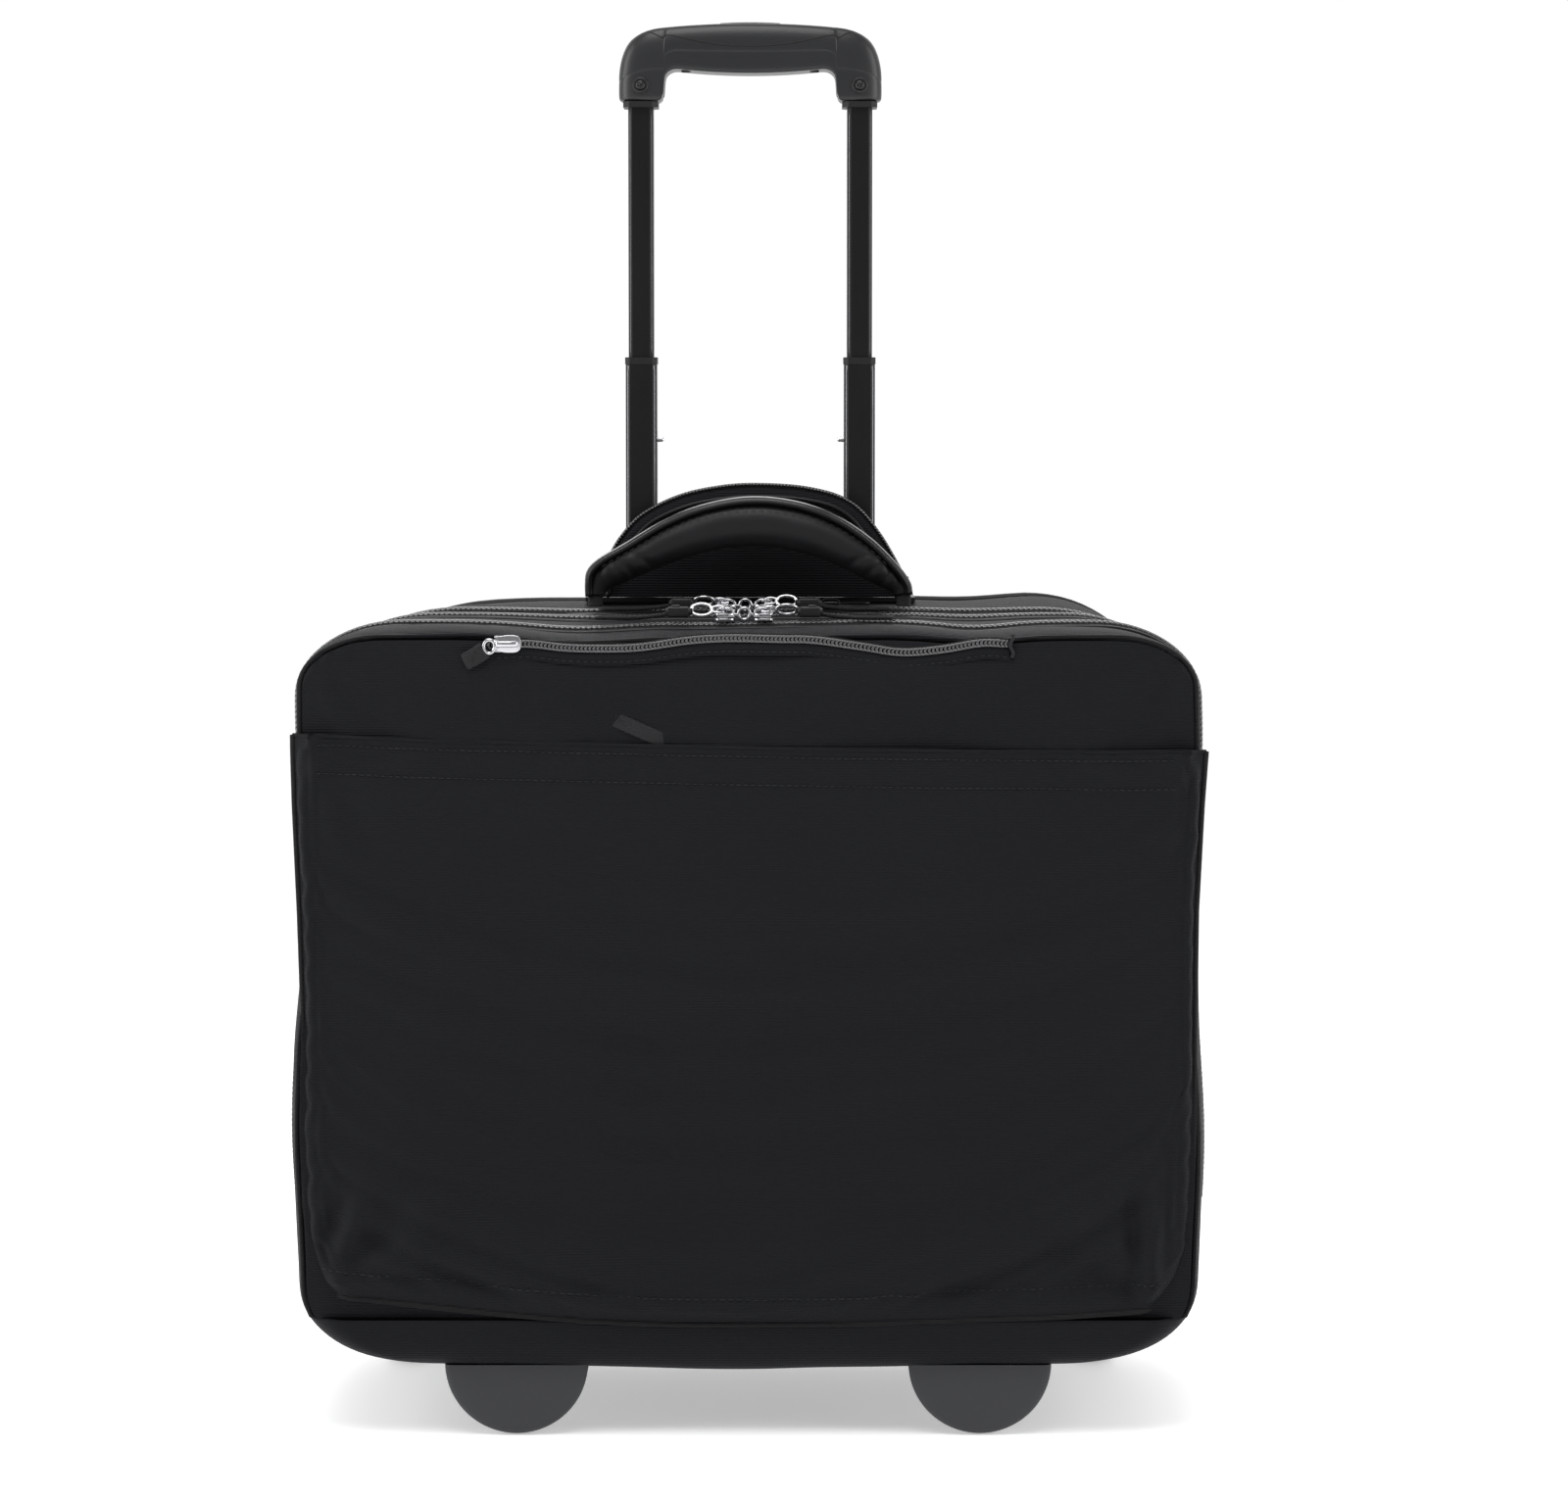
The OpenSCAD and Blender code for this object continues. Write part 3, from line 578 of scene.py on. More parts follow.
def leather(name, base, rough=0.42, sheen=0.02):
    mat = bpy.data.materials.new(name)
    mat.use_nodes = True
    nt, b = nodes_of(mat)
    tc = nt.nodes.new("ShaderNodeTexCoord")
    v = nt.nodes.new("ShaderNodeTexVoronoi")
    v.inputs["Scale"].default_value = 900
    nt.links.new(tc.outputs["Object"], v.inputs["Vector"])
    big = tex_noise(nt, tc.outputs["Object"], 26, 4)
    fine = tex_noise(nt, tc.outputs["Object"], 500, 3)
    nt.links.new(ramp_color(nt, big, [c * 0.82 for c in base], [c * 1.25 for c in base]), b.inputs["Base Color"])
    nt.links.new(ramp_val(nt, big, rough - 0.06, rough + 0.1), b.inputs["Roughness"])
    b.inputs["Sheen Weight"].default_value = sheen
    b.inputs["Sheen Roughness"].default_value = 0.4
    b.inputs["Specular IOR Level"].default_value = 0.3
    h = M(nt, "ADD", M(nt, "MULTIPLY", v.outputs["Distance"], 0.5), M(nt, "MULTIPLY", fine, 0.5))
    nt.links.new(bump(nt, h, 0.00008, 0.7, bump(nt, big, 0.0008, 0.3)), b.inputs["Normal"])
    return mat


def woven(name, base, pitch=0.0011, along="x", rough=0.55, sheen=0.04, depth=0.00025):
    """narrow webbing or braid: diagonal crossing threads"""
    mat = bpy.data.materials.new(name)
    mat.use_nodes = True
    nt, b = nodes_of(mat)
    tc = nt.nodes.new("ShaderNodeTexCoord")
    sep = nt.nodes.new("ShaderNodeSeparateXYZ")
    nt.links.new(tc.outputs["Object"], sep.inputs[0])
    x, y, z = sep.outputs
    s = M(nt, "ADD", y, z)
    k = 2 * math.pi / pitch
    a = M(nt, "SINE", M(nt, "MULTIPLY", M(nt, "ADD", x, s), k))
    c = M(nt, "SINE", M(nt, "MULTIPLY", M(nt, "SUBTRACT", x, s), k))
    h = M(nt, "MULTIPLY_ADD", M(nt, "MAXIMUM", a, c), 0.5, 0.5)
    nn = tex_noise(nt, tc.outputs["Object"], 300, 3)
    nt.links.new(ramp_color(nt, M(nt, "ADD", M(nt, "MULTIPLY", h, 0.6), M(nt, "MULTIPLY", nn, 0.4)), [q * 0.55 for q in base], [q * 1.5 for q in base]), b.inputs["Base Color"])
    nt.links.new(ramp_val(nt, nn, rough - 0.08, rough + 0.1), b.inputs["Roughness"])
    b.inputs["Sheen Weight"].default_value = sheen
    b.inputs["Sheen Roughness"].default_value = 0.4
    b.inputs["Specular IOR Level"].default_value = 0.2
    nt.links.new(bump(nt, h, depth, 0.9), b.inputs["Normal"])
    return mat


FAB = fabric("shell_nylon", (0.0066, 0.0069, 0.0084))
FABP = fabric("pocket_nylon", (0.0070, 0.0073, 0.0089), depth=0.00026)
FABL = fabric("lining", (0.02, 0.02, 0.022), rib=0.0009, sheen=0.05)
TRIM = fabric("binding", (0.006, 0.006, 0.0068), rough=0.5, rib=0.0008, sheen=0.03, spec=0.15)
TAPE = woven("zip_tape", (0.006, 0.006, 0.0066), pitch=0.0009)
COIL = plastic("zip_coil_gloss", (0.02, 0.0205, 0.023), rough=0.2, spec=0.9, coat=0.6, gscale=300)
WEB = woven("webbing_black", (0.012, 0.012, 0.0135), pitch=0.0014)
BRAID = woven("braid_black", (0.009, 0.009, 0.010), pitch=0.0016, depth=0.0004)
HANDLE = leather("handle_skin", (0.0085, 0.0088, 0.010))
PIPE = leather("piping_skin", (0.006, 0.006, 0.007), rough=0.36)
BLK = plastic("black_moulded", (0.009, 0.009, 0.010), rough=0.45)
STOPM = plastic("stop_moulded", (0.011, 0.011, 0.012), rough=0.4, coat=0.1)
GRIP = plastic("grip_moulded", (0.013, 0.0135, 0.0148), rough=0.36, grain=0.00006, spec=0.42, coat=0.05)
BUT = plastic("button_moulded", (0.024, 0.025, 0.028), rough=0.3, coat=0.3)
FOOT = plastic("foot_moulded", (0.034, 0.035, 0.038), rough=0.55, grain=0.00008, gscale=700)
TYRE = plastic("tyre_rubber", (0.018, 0.018, 0.018), rough=0.7, grain=0.00012, gscale=500)
HUB = plastic("hub_moulded", (0.07, 0.071, 0.075), rough=0.4)
BOARD = plastic("board_sheet", (0.03, 0.03, 0.032), rough=0.6)
TUBE = metal("tube_anodised", (0.009, 0.009, 0.0098), rough=0.3, brushed=(700, 700, 12), vary=0.12, metallic=0.35, spec=0.35)
# lighter metal for thin strips along the tubes' front chamfers: a painted highlight standing in for the backdrop's
# reflection on those edges
TUBE_EDGE_HIGHLIGHT = metal("tube_edge_worn", (0.22, 0.22, 0.23), rough=0.32, metallic=0.8)
DARKM = metal("blackened_plate", (0.02, 0.02, 0.022), rough=0.35, metallic=0.6)
STEEL = metal("steel_bright", (0.6, 0.6, 0.61), rough=0.25)
SILVER = metal("nickel_plate", (0.56, 0.56, 0.58), rough=0.2)
THREAD = woven("stitch_thread", (0.014, 0.014, 0.016), pitch=0.0007, rough=0.45)

# ------------------------------------------------------------------ the sewn case's shape
HW = 214.0
CUT = 56.2  # lowest edge of the sections that open
WAVE_X = [-214, -200, -181, -156, -129, -109, -91, -77, -62, -39, -26, 0, 30, 54, 70, 86, 104, 119, 133, 148, 171, 192, 214]
WAVE_Z = [0, 0.2, 0.4, 0.5, 0.4, -0.8, -2.6, -2.8, -2.0, -0.6, -1.0, -0.6, 0.1, 0.4, 0.5, -0.4, -2.6, -1.8, 0.0, 0.2, 0.3, 0.2, 0]
_wx = np.arange(-240, 241, 1.0)
_wz = np.interp(_wx, WAVE_X, WAVE_Z)
_k = np.exp(-0.5 * (np.arange(-18, 19) / 6.0) ** 2)
_wz = np.convolve(np.pad(_wz, 18, mode="edge"), _k / _k.sum(), mode="valid")


def gauss(v, c, s):
    return np.exp(-0.5 * ((v - c) / s) ** 2)


def D(P):
    """The soft case's own slackness: sides that swell low and pull in high, a top that waves."""
    P = np.array(P, float)
    x, y, z = P[:, 0].copy(), P[:, 1].copy(), P[:, 2].copy()
    side = sm((np.abs(x) - 150) / 60)
    top = sm((z - 345) / 30)
    front = 1 - 0.72 * sm((y + 64) / 100)
    # sides
    sx = np.sign(x)
    bul = 3.4 * gauss(z, 148, 34) - 3.0 * gauss(z, 262, 48) + 1.2 * gauss(z, 330, 26)
    bul_r = 3.0 * gauss(z, 138, 34) - 2.2 * gauss(z, 268, 60) + 2.2 * gauss(z, 322, 24)
    b = np.where(x < 0, bul, bul_r)
    P[:, 0] += sx * side * b * (0.55 + 0.45 * gauss(y, -64, 45))
    low = np.clip((70 - z) / 38, 0, 0.42)
    P[:, 0] -= sx * 64 * (1 - np.sqrt(1 - low ** 2)) * sm((np.abs(x) - 120) / 94)
    # top wave, less to the rear
    P[:, 2] += top * np.interp(x, _wx, _wz) * front
    # rear corners: the left sits lower, the right fuller
    rear = sm((y - 40) / 50)
    P[:, 2] += rear * top * (3.4 * gauss(x, 168, 26) - 3.2 * gauss(x, -160, 30))
    return P


def lerp_table(y, ys, vs):
    return float(np.interp(y, ys, vs))


YS = [-101, -64, 2, 34, 100]
def dims(y):
    return (
        lerp_table(y, YS, [211.5, 213.2, 214, 214, 213.5]),
        lerp_table(y, YS, [380.2, 382.4, 382.9, 384.0, 388.3]),
        lerp_table(y, YS, [39, 49, 60, 69, 82]),
        lerp_table(y, YS, [24, 33, 44, 54, 70]),
    )


_cx = np.concatenate([np.arange(0, 131, 6.5), 134 + 80 * np.sin(np.radians(np.arange(4.5, 90.1, 4.5)))]) / 214
COLS = np.concatenate([-_cx[:0:-1], _cx])
COLS[0], COLS[-1] = -1, 1
NV = 46


def ztop(x, hw, z1, rx, rz):
    k = np.clip((np.abs(x) - (hw - rx)) / rx, 0, 1)
    return z1 - rz + rz * np.sqrt(np.maximum(0, 1 - k ** 2))


def ring(y, off=0.0, low=CUT, shape=None):
    """open loop: left side up, over the top, right side down"""
    hw, z1, rx, rz = shape or dims(y)
    t = np.linspace(0, 1, NV)
    zs = low + t * (z1 - rz - low)
    L = np.stack([np.full(NV, -hw), zs], 1)[:-1]
    X = COLS * hw
    T = np.stack([X, ztop(X, hw, z1, rx, rz)], 1)
    R = np.stack([np.full(NV, hw), zs], 1)[::-1][1:]
    P = np.concatenate([L, T, R])
    tan = np.gradient(P, axis=0)
    tan /= np.linalg.norm(tan, axis=1)[:, None]
    nrm = np.stack([-tan[:, 1], tan[:, 0]], 1)
    # gradients at the corner sampling are fine because the outline is smooth there
    P = P + nrm * np.asarray(off).reshape(-1, 1) if np.ndim(off) else P + nrm * off
    return np.stack([P[:, 0], np.full(len(P), float(y)), P[:, 1]], 1)


def panel(y, off, bulge=None, low=CUT, shape=None, nrow=NV):
    """grid that fills the loop of ring(y, off)"""
    hw, z1, rx, rz = shape or dims(y)
    hw, z1, rx, rz = hw + off, z1 + off, max(rx + off, 5), max(rz + off, 5)
    X = COLS * hw
    T = ztop(X, hw, z1, rx, rz)
    t = np.linspace(0, 1, nrow)
    G = np.zeros((len(X), nrow, 3))
    for i, (x, zt) in enumerate(zip(X, T)):
        G[i, :, 0] = x
        G[i, :, 1] = y
        G[i, :, 2] = low + t * (zt - low)
    if bulge is not None:
        G[..., 1] += bulge(G[..., 0], G[..., 2])
    return G


def skin(name, rings, mat, body, slot, replaces=(), face=None, thick=3.0, disp=None, sub=1, cuts=(), front=True):
    """rings from one open edge to the other, with an optional panel that fills the last one"""
    R = np.stack(rings)
    parts = [grid(R, flip=not front)]
    if face is not None:
        parts.append(grid(face, flip=front))
    V, F = join(parts)
    bm = bmesh.new()
    vs = [bm.verts.new(tuple(p)) for p in V]
    for f in F:
        try:
            bm.faces.new([vs[i] for i in f])
        except ValueError:
            pass
    bmesh.ops.remove_doubles(bm, verts=bm.verts, dist=0.9)
    bmesh.ops.recalc_face_normals(bm, faces=bm.faces)
    bm.verts.index_update()
    V = np.array([tuple(v.co) for v in bm.verts])
    F = [[v.index for v in f.verts] for f in bm.faces]
    # outward normals for displacement
    bm.normal_update()
    N = np.array([tuple(v.normal) for v in bm.verts])
    mid = np.array([0, V[:, 1].mean() if face is None else (V[:, 1].max() if front else V[:, 1].min()), 200.0])
    if ((V - mid) * N).sum() < 0:
        N = -N
        F = [f[::-1] for f in F]
    bm.free()
    if disp is not None:
        V = disp(V, N)
    ob = add(name, D(V), F, mat)
    if sub:
        m = ob.modifiers.new("sub", "SUBSURF")
        m.levels = m.render_levels = sub
    m = ob.modifiers.new("thick", "SOLIDIFY")
    m.thickness = thick * MM
    m.offset = -1
    apply_all(ob)
    for lo, hi in cuts:
        cutter(ob, lo, hi)
    finish_piece(ob, body, slot, replaces)
    return ob


def cutter(ob, lo, hi):
    v, f = box_round(lo, hi, 0.5, 1)
    me = bpy.data.meshes.new("cutter")
    me.from_pydata([tuple(p) for p in v * MM], [], f)
    c = bpy.data.objects.new("cutter", me)
    scene.collection.objects.link(c)
    m = ob.modifiers.new("cut", "BOOLEAN")
    m.operation = "DIFFERENCE"
    m.solver = "EXACT"
    m.object = c
    apply_all(ob)
    bpy.data.objects.remove(c)
    bpy.data.meshes.remove(me)


def soft(amp, scale, seed, keep_y=None):
    """low, wide softness along the normal, faded out next to the zips"""
    def f(V, N):
        n = nzv(V, scale, seed) * 0.7 + nzv(V, scale * 2.3, seed + 5) * 0.3
        w = np.ones(len(V))
        if keep_y:
            for y0 in keep_y:
                w *= sm((np.abs(V[:, 1] - y0) - 4) / 12)
        return V + N * (amp * n * w)[:, None]
    return f


# --- front cover
COVER_RINGS = [(-64.25, 0.0), (-66, 0.4), (-68.6, -0.2), (-70, 0.2), (-74, 0.9), (-80, 1.4), (-87, 1.5), (-92, 1.2), (-96, 0.5), (-98.8, -0.3), (-100.6, -1.3)]
crings = [ring(y, o) for y, o in COVER_RINGS]


def cover_bulge(x, z):
    u = np.clip(np.abs(x) / 208, 0, 1)
    b = -2.6 * (1 - u ** 6) * sm((z - 57) / 12) * sm((377 - z) / 14)
    b += -1.4 * gauss(z, 352, 14) * (1 - u ** 8)
    return b


cface = panel(-101.8, -2.8, cover_bulge)


def cover_disp(V, N):
    w = sm((np.abs(V[:, 1] + 64) - 4) / 10)
    n = 2.0 * nzv(V, 0.012, 3.1) + 0.9 * nzv(V, 0.03, 8.2)
    # pinch creases that run in from the upper corners
    x, z = V[:, 0], V[:, 2]
    face = sm((-98 - V[:, 1]) / 2.0)
    for sx, ang, amp in ((-1, 0.42, 3.4), (1, 0.48, 3.8), (-1, 0.95, 2.4), (1, 1.05, 2.8)):
        cx, cz = sx * 205, 377
        dx, dz = (x - cx) * -sx, cz - z
        r = np.hypot(dx, dz) + 1e-6
        a = np.arctan2(dz, dx)
        n -= amp * face * np.exp(-((a - ang) / 0.13) ** 2) * np.exp(-r / 42) * sm(r / 8)
        n += 0.7 * amp * face * np.exp(-((a - ang - 0.22) / 0.13) ** 2) * np.exp(-r / 42) * sm(r / 8)
    return V + N * (n * w)[:, None]


cover_skin = skin("cover_skin", crings, FAB, "cover", "shell_fabric", ("cover_shell",), cface, thick=2.4, disp=cover_disp)

# --- front section
A_RINGS = [(-63.75, 0.0), (-62, 0.5), (-59.4, 0.2), (-58, 0.5), (-50, 1.1), (-38, 1.4), (-24, 1.3), (-14, 0.9), (-8, 0.4), (-5.2, 0.2), (-3.9, 0.3), (-2, 0.5), (1.75, 0.0)]
skin("front_skin", [ring(y, o) for y, o in A_RINGS], FAB, "front_section", "shell_fabric", ("front_shell",), None, thick=3.0, disp=soft(1.0, 0.014, 11.0, (-64, 2)))
# --- middle section
B_RINGS = [(2.25, 0.0), (4, 0.5), (6.6, 0.3), (8, 0.8), (13, 1.5), (19, 1.6), (25, 1.2), (29, 0.4), (32, 0.5), (33.75, 0.0)]
skin("middle_skin", [ring(y, o) for y, o in B_RINGS], FAB, "middle_section", "shell_fabric", ("middle_shell",), None, thick=3.0, disp=soft(0.7, 0.014, 21.0, (2, 34)))
# --- rear section
R_RINGS = [(34.25, 0.0), (36, 0.5), (38.6, 0.3), (40, 0.9), (48, 1.6), (58, 1.8), (70, 1.6), (82, 1.2), (90, 0.6), (94.5, -0.4), (97.6, -2.2), (99.2, -4.4)]


def rear_bulge(x, z):
    u = np.clip(np.abs(x) / 206, 0, 1)
    return 1.1 * (1 - u ** 6) * sm((z - 57) / 20) * sm((380 - z) / 24)


rface = panel(99.9, -6.4, rear_bulge)
WHEEL_CUTS = [((-191.2, 38.4, 10), (-160.8, 130, 69)), ((160.8, 38.4, 10), (191.2, 130, 69))]
rear_skin = skin("rear_skin", [ring(y, o) for y, o in R_RINGS], FAB, "root", "shell_fabric", ("rear_shell",), rface, thick=3.0,
                 disp=soft(1.0, 0.013, 31.0, (34,)), cuts=[((-78.8, 63.0, 340), (78.8, 96.2, 430)), *WHEEL_CUTS], front=False)


# --- dividers and floors inside
def sheet_panel(name, y, off, t, mat, body, low=60):
    G = panel(y, off, None, low=low)
    V, F = grid(G)
    V = D(V)
    V[:, 1] += 0.6 * nzv(V, 0.02, y)
    ob = add(name, V, F, mat, solid=t)
    finish_piece(ob, body, "board" if mat is BOARD else "shell_fabric")
    return ob


sheet_panel("front_divider", 0.6, -4.2, 1.8, FABL, "front_section")
sheet_panel("middle_divider", 32.6, -4.2, 1.8, FABL, "middle_section")


def floor_panel(name, y0, y1, body):
    xs = np.linspace(-205, 205, 40)
    ys = np.linspace(y0, y1, 8)
    G = np.zeros((40, 8, 3))
    G[..., 0] = xs[:, None]
    G[..., 1] = ys[None]
    G[..., 2] = 59.6
    V, F = grid(G)
    V[:, 2] += 0.5 * nzv(V, 0.03, 2.0)
    ob = add(name, V, F, FABL, solid=2.2)
    finish_piece(ob, body, "shell_fabric")


floor_panel("cover_floor", -98, -65, "cover")
floor_panel("front_floor", -63, -1.5, "front_section")
floor_panel("middle_floor", 3, 31, "middle_section")
cutf = [(-206, 206)]
xs = np.linspace(-158, 158, 32)
G = np.zeros((32, 6, 3))
G[..., 0] = xs[:, None]
G[..., 1] = np.linspace(35, 59, 6)[None]
G[..., 2] = 59.6
V, F = grid(G)
add("rear_floor", V, F, FABL, "root", "shell_fabric", solid=2.2)


# --- lower shell, fixed
def low_half(z, hw=213.6):
    k = np.clip((70 - z) / 38.5, 0, 1)
    return hw - 64 * (1 - np.sqrt(np.maximum(0, 1 - k * k)))


def tub_loop(z, inset_y, n=26):
    hw = low_half(z)
    yf, yr = -104.3 + inset_y, 99.9 - inset_y
    rc = 17.0
    pts = []
    nx, ny = 60, 26
    for i in range(nx):
        pts.append((-hw + rc + (2 * (hw - rc)) * i / (nx - 1), yf))
    for i in range(1, 9):
        a = math.radians(-90 + 90 * i / 9)
        pts.append((hw - rc + rc * math.cos(a), yf + rc + rc * math.sin(a)))
    for i in range(ny):
        pts.append((hw, yf + rc + (yr - yf - 2 * rc) * i / (ny - 1)))
    for i in range(1, 9):
        a = math.radians(90 * i / 9)
        pts.append((hw - rc + rc * math.cos(a), yr - rc + rc * math.sin(a)))
    for i in range(nx):
        pts.append((hw - rc - (2 * (hw - rc)) * i / (nx - 1), yr))
    for i in range(1, 9):
        a = math.radians(90 + 90 * i / 9)
        pts.append((-hw + rc + rc * math.cos(a), yr - rc + rc * math.sin(a)))
    for i in range(ny):
        pts.append((-hw, yr - rc - (yr - yf - 2 * rc) * i / (ny - 1)))
    for i in range(1, 9):
        a = math.radians(180 + 90 * i / 9)
        pts.append((-hw + rc + rc * math.cos(a), yf + rc + rc * math.sin(a)))
    P = np.array(pts)
    return np.stack([P[:, 0], P[:, 1], np.full(len(P), float(z))], 1)


zs = [56.3, 54.6, 51.5, 48, 44.5, 41, 38, 35.6, 33.8, 32.7, 32.1]
ins = [-0.6, -0.9, -1.2, -1.2, -1.0, -0.2, 1.4, 4.2, 8.2, 13, 19]
loops = [tub_loop(z, i) for z, i in zip(zs, ins)]
last = loops[-1]
ctr = np.array([0, -2.0, 31.9])
for k in (0.8, 0.55, 0.3, 0.1):
    q = ctr + (last - ctr) * k
    q[:, 2] = 31.9
    loops.append(q)
V, F = grid(np.stack(loops), close_v=True)
F.append([len(loops) * 0 + (len(loops) - 1) * len(last) + i for i in range(len(last))])
w = sm((52 - V[:, 2]) / 10) * sm((V[:, 2] - 31) / 3)
V[:, 2] += 0.8 * w * nzv(V, 0.02, 44.0)
V[:, 1] += np.sign(V[:, 1]) * 0.9 * w * nzv(V, 0.017, 47.0)
V[:, 2] -= 2.5 * gauss(V[:, 0], 0, 62) * sm((46 - V[:, 2]) / 12) * (V[:, 1] < 0)
# the front lower edge: a long even swell with small puckers at the seam
V[:, 1] -= np.where(V[:, 1] < -90, 1, 0) * 0.5 * gauss(V[:, 2], 46, 6) * (1 + 0.6 * np.sin(V[:, 0] * 0.35) * nzv(V, 0.05, 3))
ob = add("lower_skin", V, F, FAB)
recalc(ob)
m = ob.modifiers.new("sub", "SUBSURF")
m.levels = m.render_levels = 1
m = ob.modifiers.new("thick", "SOLIDIFY")
m.thickness = 2.6 * MM
m.offset = -1
apply_all(ob)
for lo, hi in WHEEL_CUTS:
    cutter(ob, lo, hi)
finish_piece(ob, "root", "shell_fabric", ("bottom_shell",))


# ------------------------------------------------------------------ piping, zips
def piping(name, y, off, r, mat, body, replaces=(), low=CUT + 1, slot="trim_fabric"):
    P = D(ring(y, off, low=low))
    P = resample(P, 3.0)
    V, F = sweep(P, r, 10, up=(0, 1, 0))
    ob = add(name, V, F, mat)
    recalc(ob)
    finish_piece(ob, body, slot, replaces)
    return ob


def tooth(L, r, n=6):
    """a small rounded bar along X"""
    ts = [(-1, 0.35), (-0.82, 0.85), (-0.3, 1), (0.3, 1), (0.82, 0.85), (1, 0.35)]
    P = np.zeros((len(ts), n, 3))
    for i, (t, k) in enumerate(ts):
        for j in range(n):
            a = 2 * math.pi * j / n
            P[i, j] = (t * L, k * r * math.cos(a), k * r * math.sin(a))
    v, f = grid(P, close_v=True)
    f.append(list(range(n)))
    f.append([(len(ts) - 1) * n + j for j in range(n)][::-1])
    return v, f


def coil(name, P, out, side, mat, body, slot, pitch=2.55, L=2.3, r=0.9, lateral=(0, 1, 0), slant=0.85, replaces=(), phase=0.0, gap=0.6):
    """one half of a coil zip: slanted bars beside the centre line P; out gives the outward direction at each point"""
    P = np.asarray(P, float)
    Q = np.concatenate([P, np.asarray(out, float)], 1)
    Ls = np.r_[0, np.cumsum(np.linalg.norm(np.diff(P, axis=0), axis=1))]
    s = np.arange(pitch * (0.5 + phase), Ls[-1], pitch)
    C = np.stack([np.interp(s, Ls, Q[:, k]) for k in range(6)], 1)
    T = np.stack([np.gradient(C[:, k]) for k in range(3)], 1)
    T /= np.linalg.norm(T, axis=1)[:, None]
    O = C[:, 3:]
    O -= T * (O * T).sum(1)[:, None]
    O /= np.linalg.norm(O, axis=1)[:, None]
    S = np.cross(T, O)
    S *= np.sign(S @ np.array(lateral, float))[:, None] * side
    tv, tf = tooth(L, r)
    X = S * 1.0 + T * slant * 1.0
    X /= np.linalg.norm(X, axis=1)[:, None]
    Yd = np.cross(O, X)
    base = C[:, :3] + S * (L * 0.72 - gap)
    V = base[:, None] + tv[None, :, 0:1] * X[:, None] + tv[None, :, 1:2] * Yd[:, None] + tv[None, :, 2:3] * O[:, None]
    n = len(tv)
    F = [[k * n + i for i in f] for k in range(len(s)) for f in tf]
    # the cord and tape edge that the bars are sewn to
    E = base + S * (L * 0.55) + O * (-0.35)
    v2, f2 = sweep(E[:: 2] if len(E) > 6 else E, 0.62, 6, up=tuple(S[0]))
    V, F = join([(V.reshape(-1, 3), F), (v2, f2)])
    ob = add(name, V, F, mat)
    recalc(ob)
    finish_piece(ob, body, slot, replaces)
    return ob


def zip_line(y, off, low):
    P = D(ring(y, off, low=low))
    Pi = D(ring(y, off - 4, low=low))
    O = P - Pi
    O[:, 1] = 0
    O /= np.linalg.norm(O, axis=1)[:, None]
    return P, O


for nm, y, fb, rb, fr, rr in (("zip1", -64, "cover", "front_section", "cover_zip_half", "front_zip_halves"),
                              ("zip2", 2, "front_section", "middle_section", None, "middle_zip_halves"),
                              ("zip3", 34, "middle_section", "root", None, "rear_zip_half")):
    P, O = zip_line(y, 2.1, 108)
    coil(nm + "_front_coil", P, O, -1, COIL, fb, "zip_coil", replaces=(fr,) if fr else ())
    coil(nm + "_rear_coil", P, O, 1, COIL, rb, "zip_coil", replaces=(rr,) if rr else (), phase=0.5)


# tapes: a flat woven strip each side of the coil
def tape(name, y0, y1, body, low=100):
    R = [D(ring(y, o, low=low)) for y, o in ((y0, 0.55), ((y0 + y1) / 2, 0.95), (y1, 0.95))]
    V, F = grid(np.stack(R))
    ob = add(name, V, F, TAPE, solid=0.7)
    recalc(ob)
    finish_piece(ob, body, "trim_fabric")


tape("zip1_front_tape", -69.5, -64.3, "cover")
tape("zip1_rear_tape", -58.5, -63.7, "front_section")
tape("zip2_front_tape", -3.5, 1.7, "front_section")
tape("zip2_rear_tape", 7.5, 2.3, "middle_section")
tape("zip3_front_tape", 28.5, 33.7, "middle_section")
tape("zip3_rear_tape", 39.5, 34.3, "root")

piping("cover_piping", -99.2, -1.3, 1.35, TRIM, "cover", ("front_piping",))
piping("cover_zip_piping", -70.8, 0.3, 1.0, PIPE, "cover")
piping("front_zip_piping", -56.9, 0.6, 1.1, PIPE, "front_section")
piping("front_rear_piping", -6.4, 0.3, 1.1, PIPE, "front_section")
piping("rear_edge_piping", 96.6, -0.2, 2.0, PIPE, "root", ("rear_piping",))


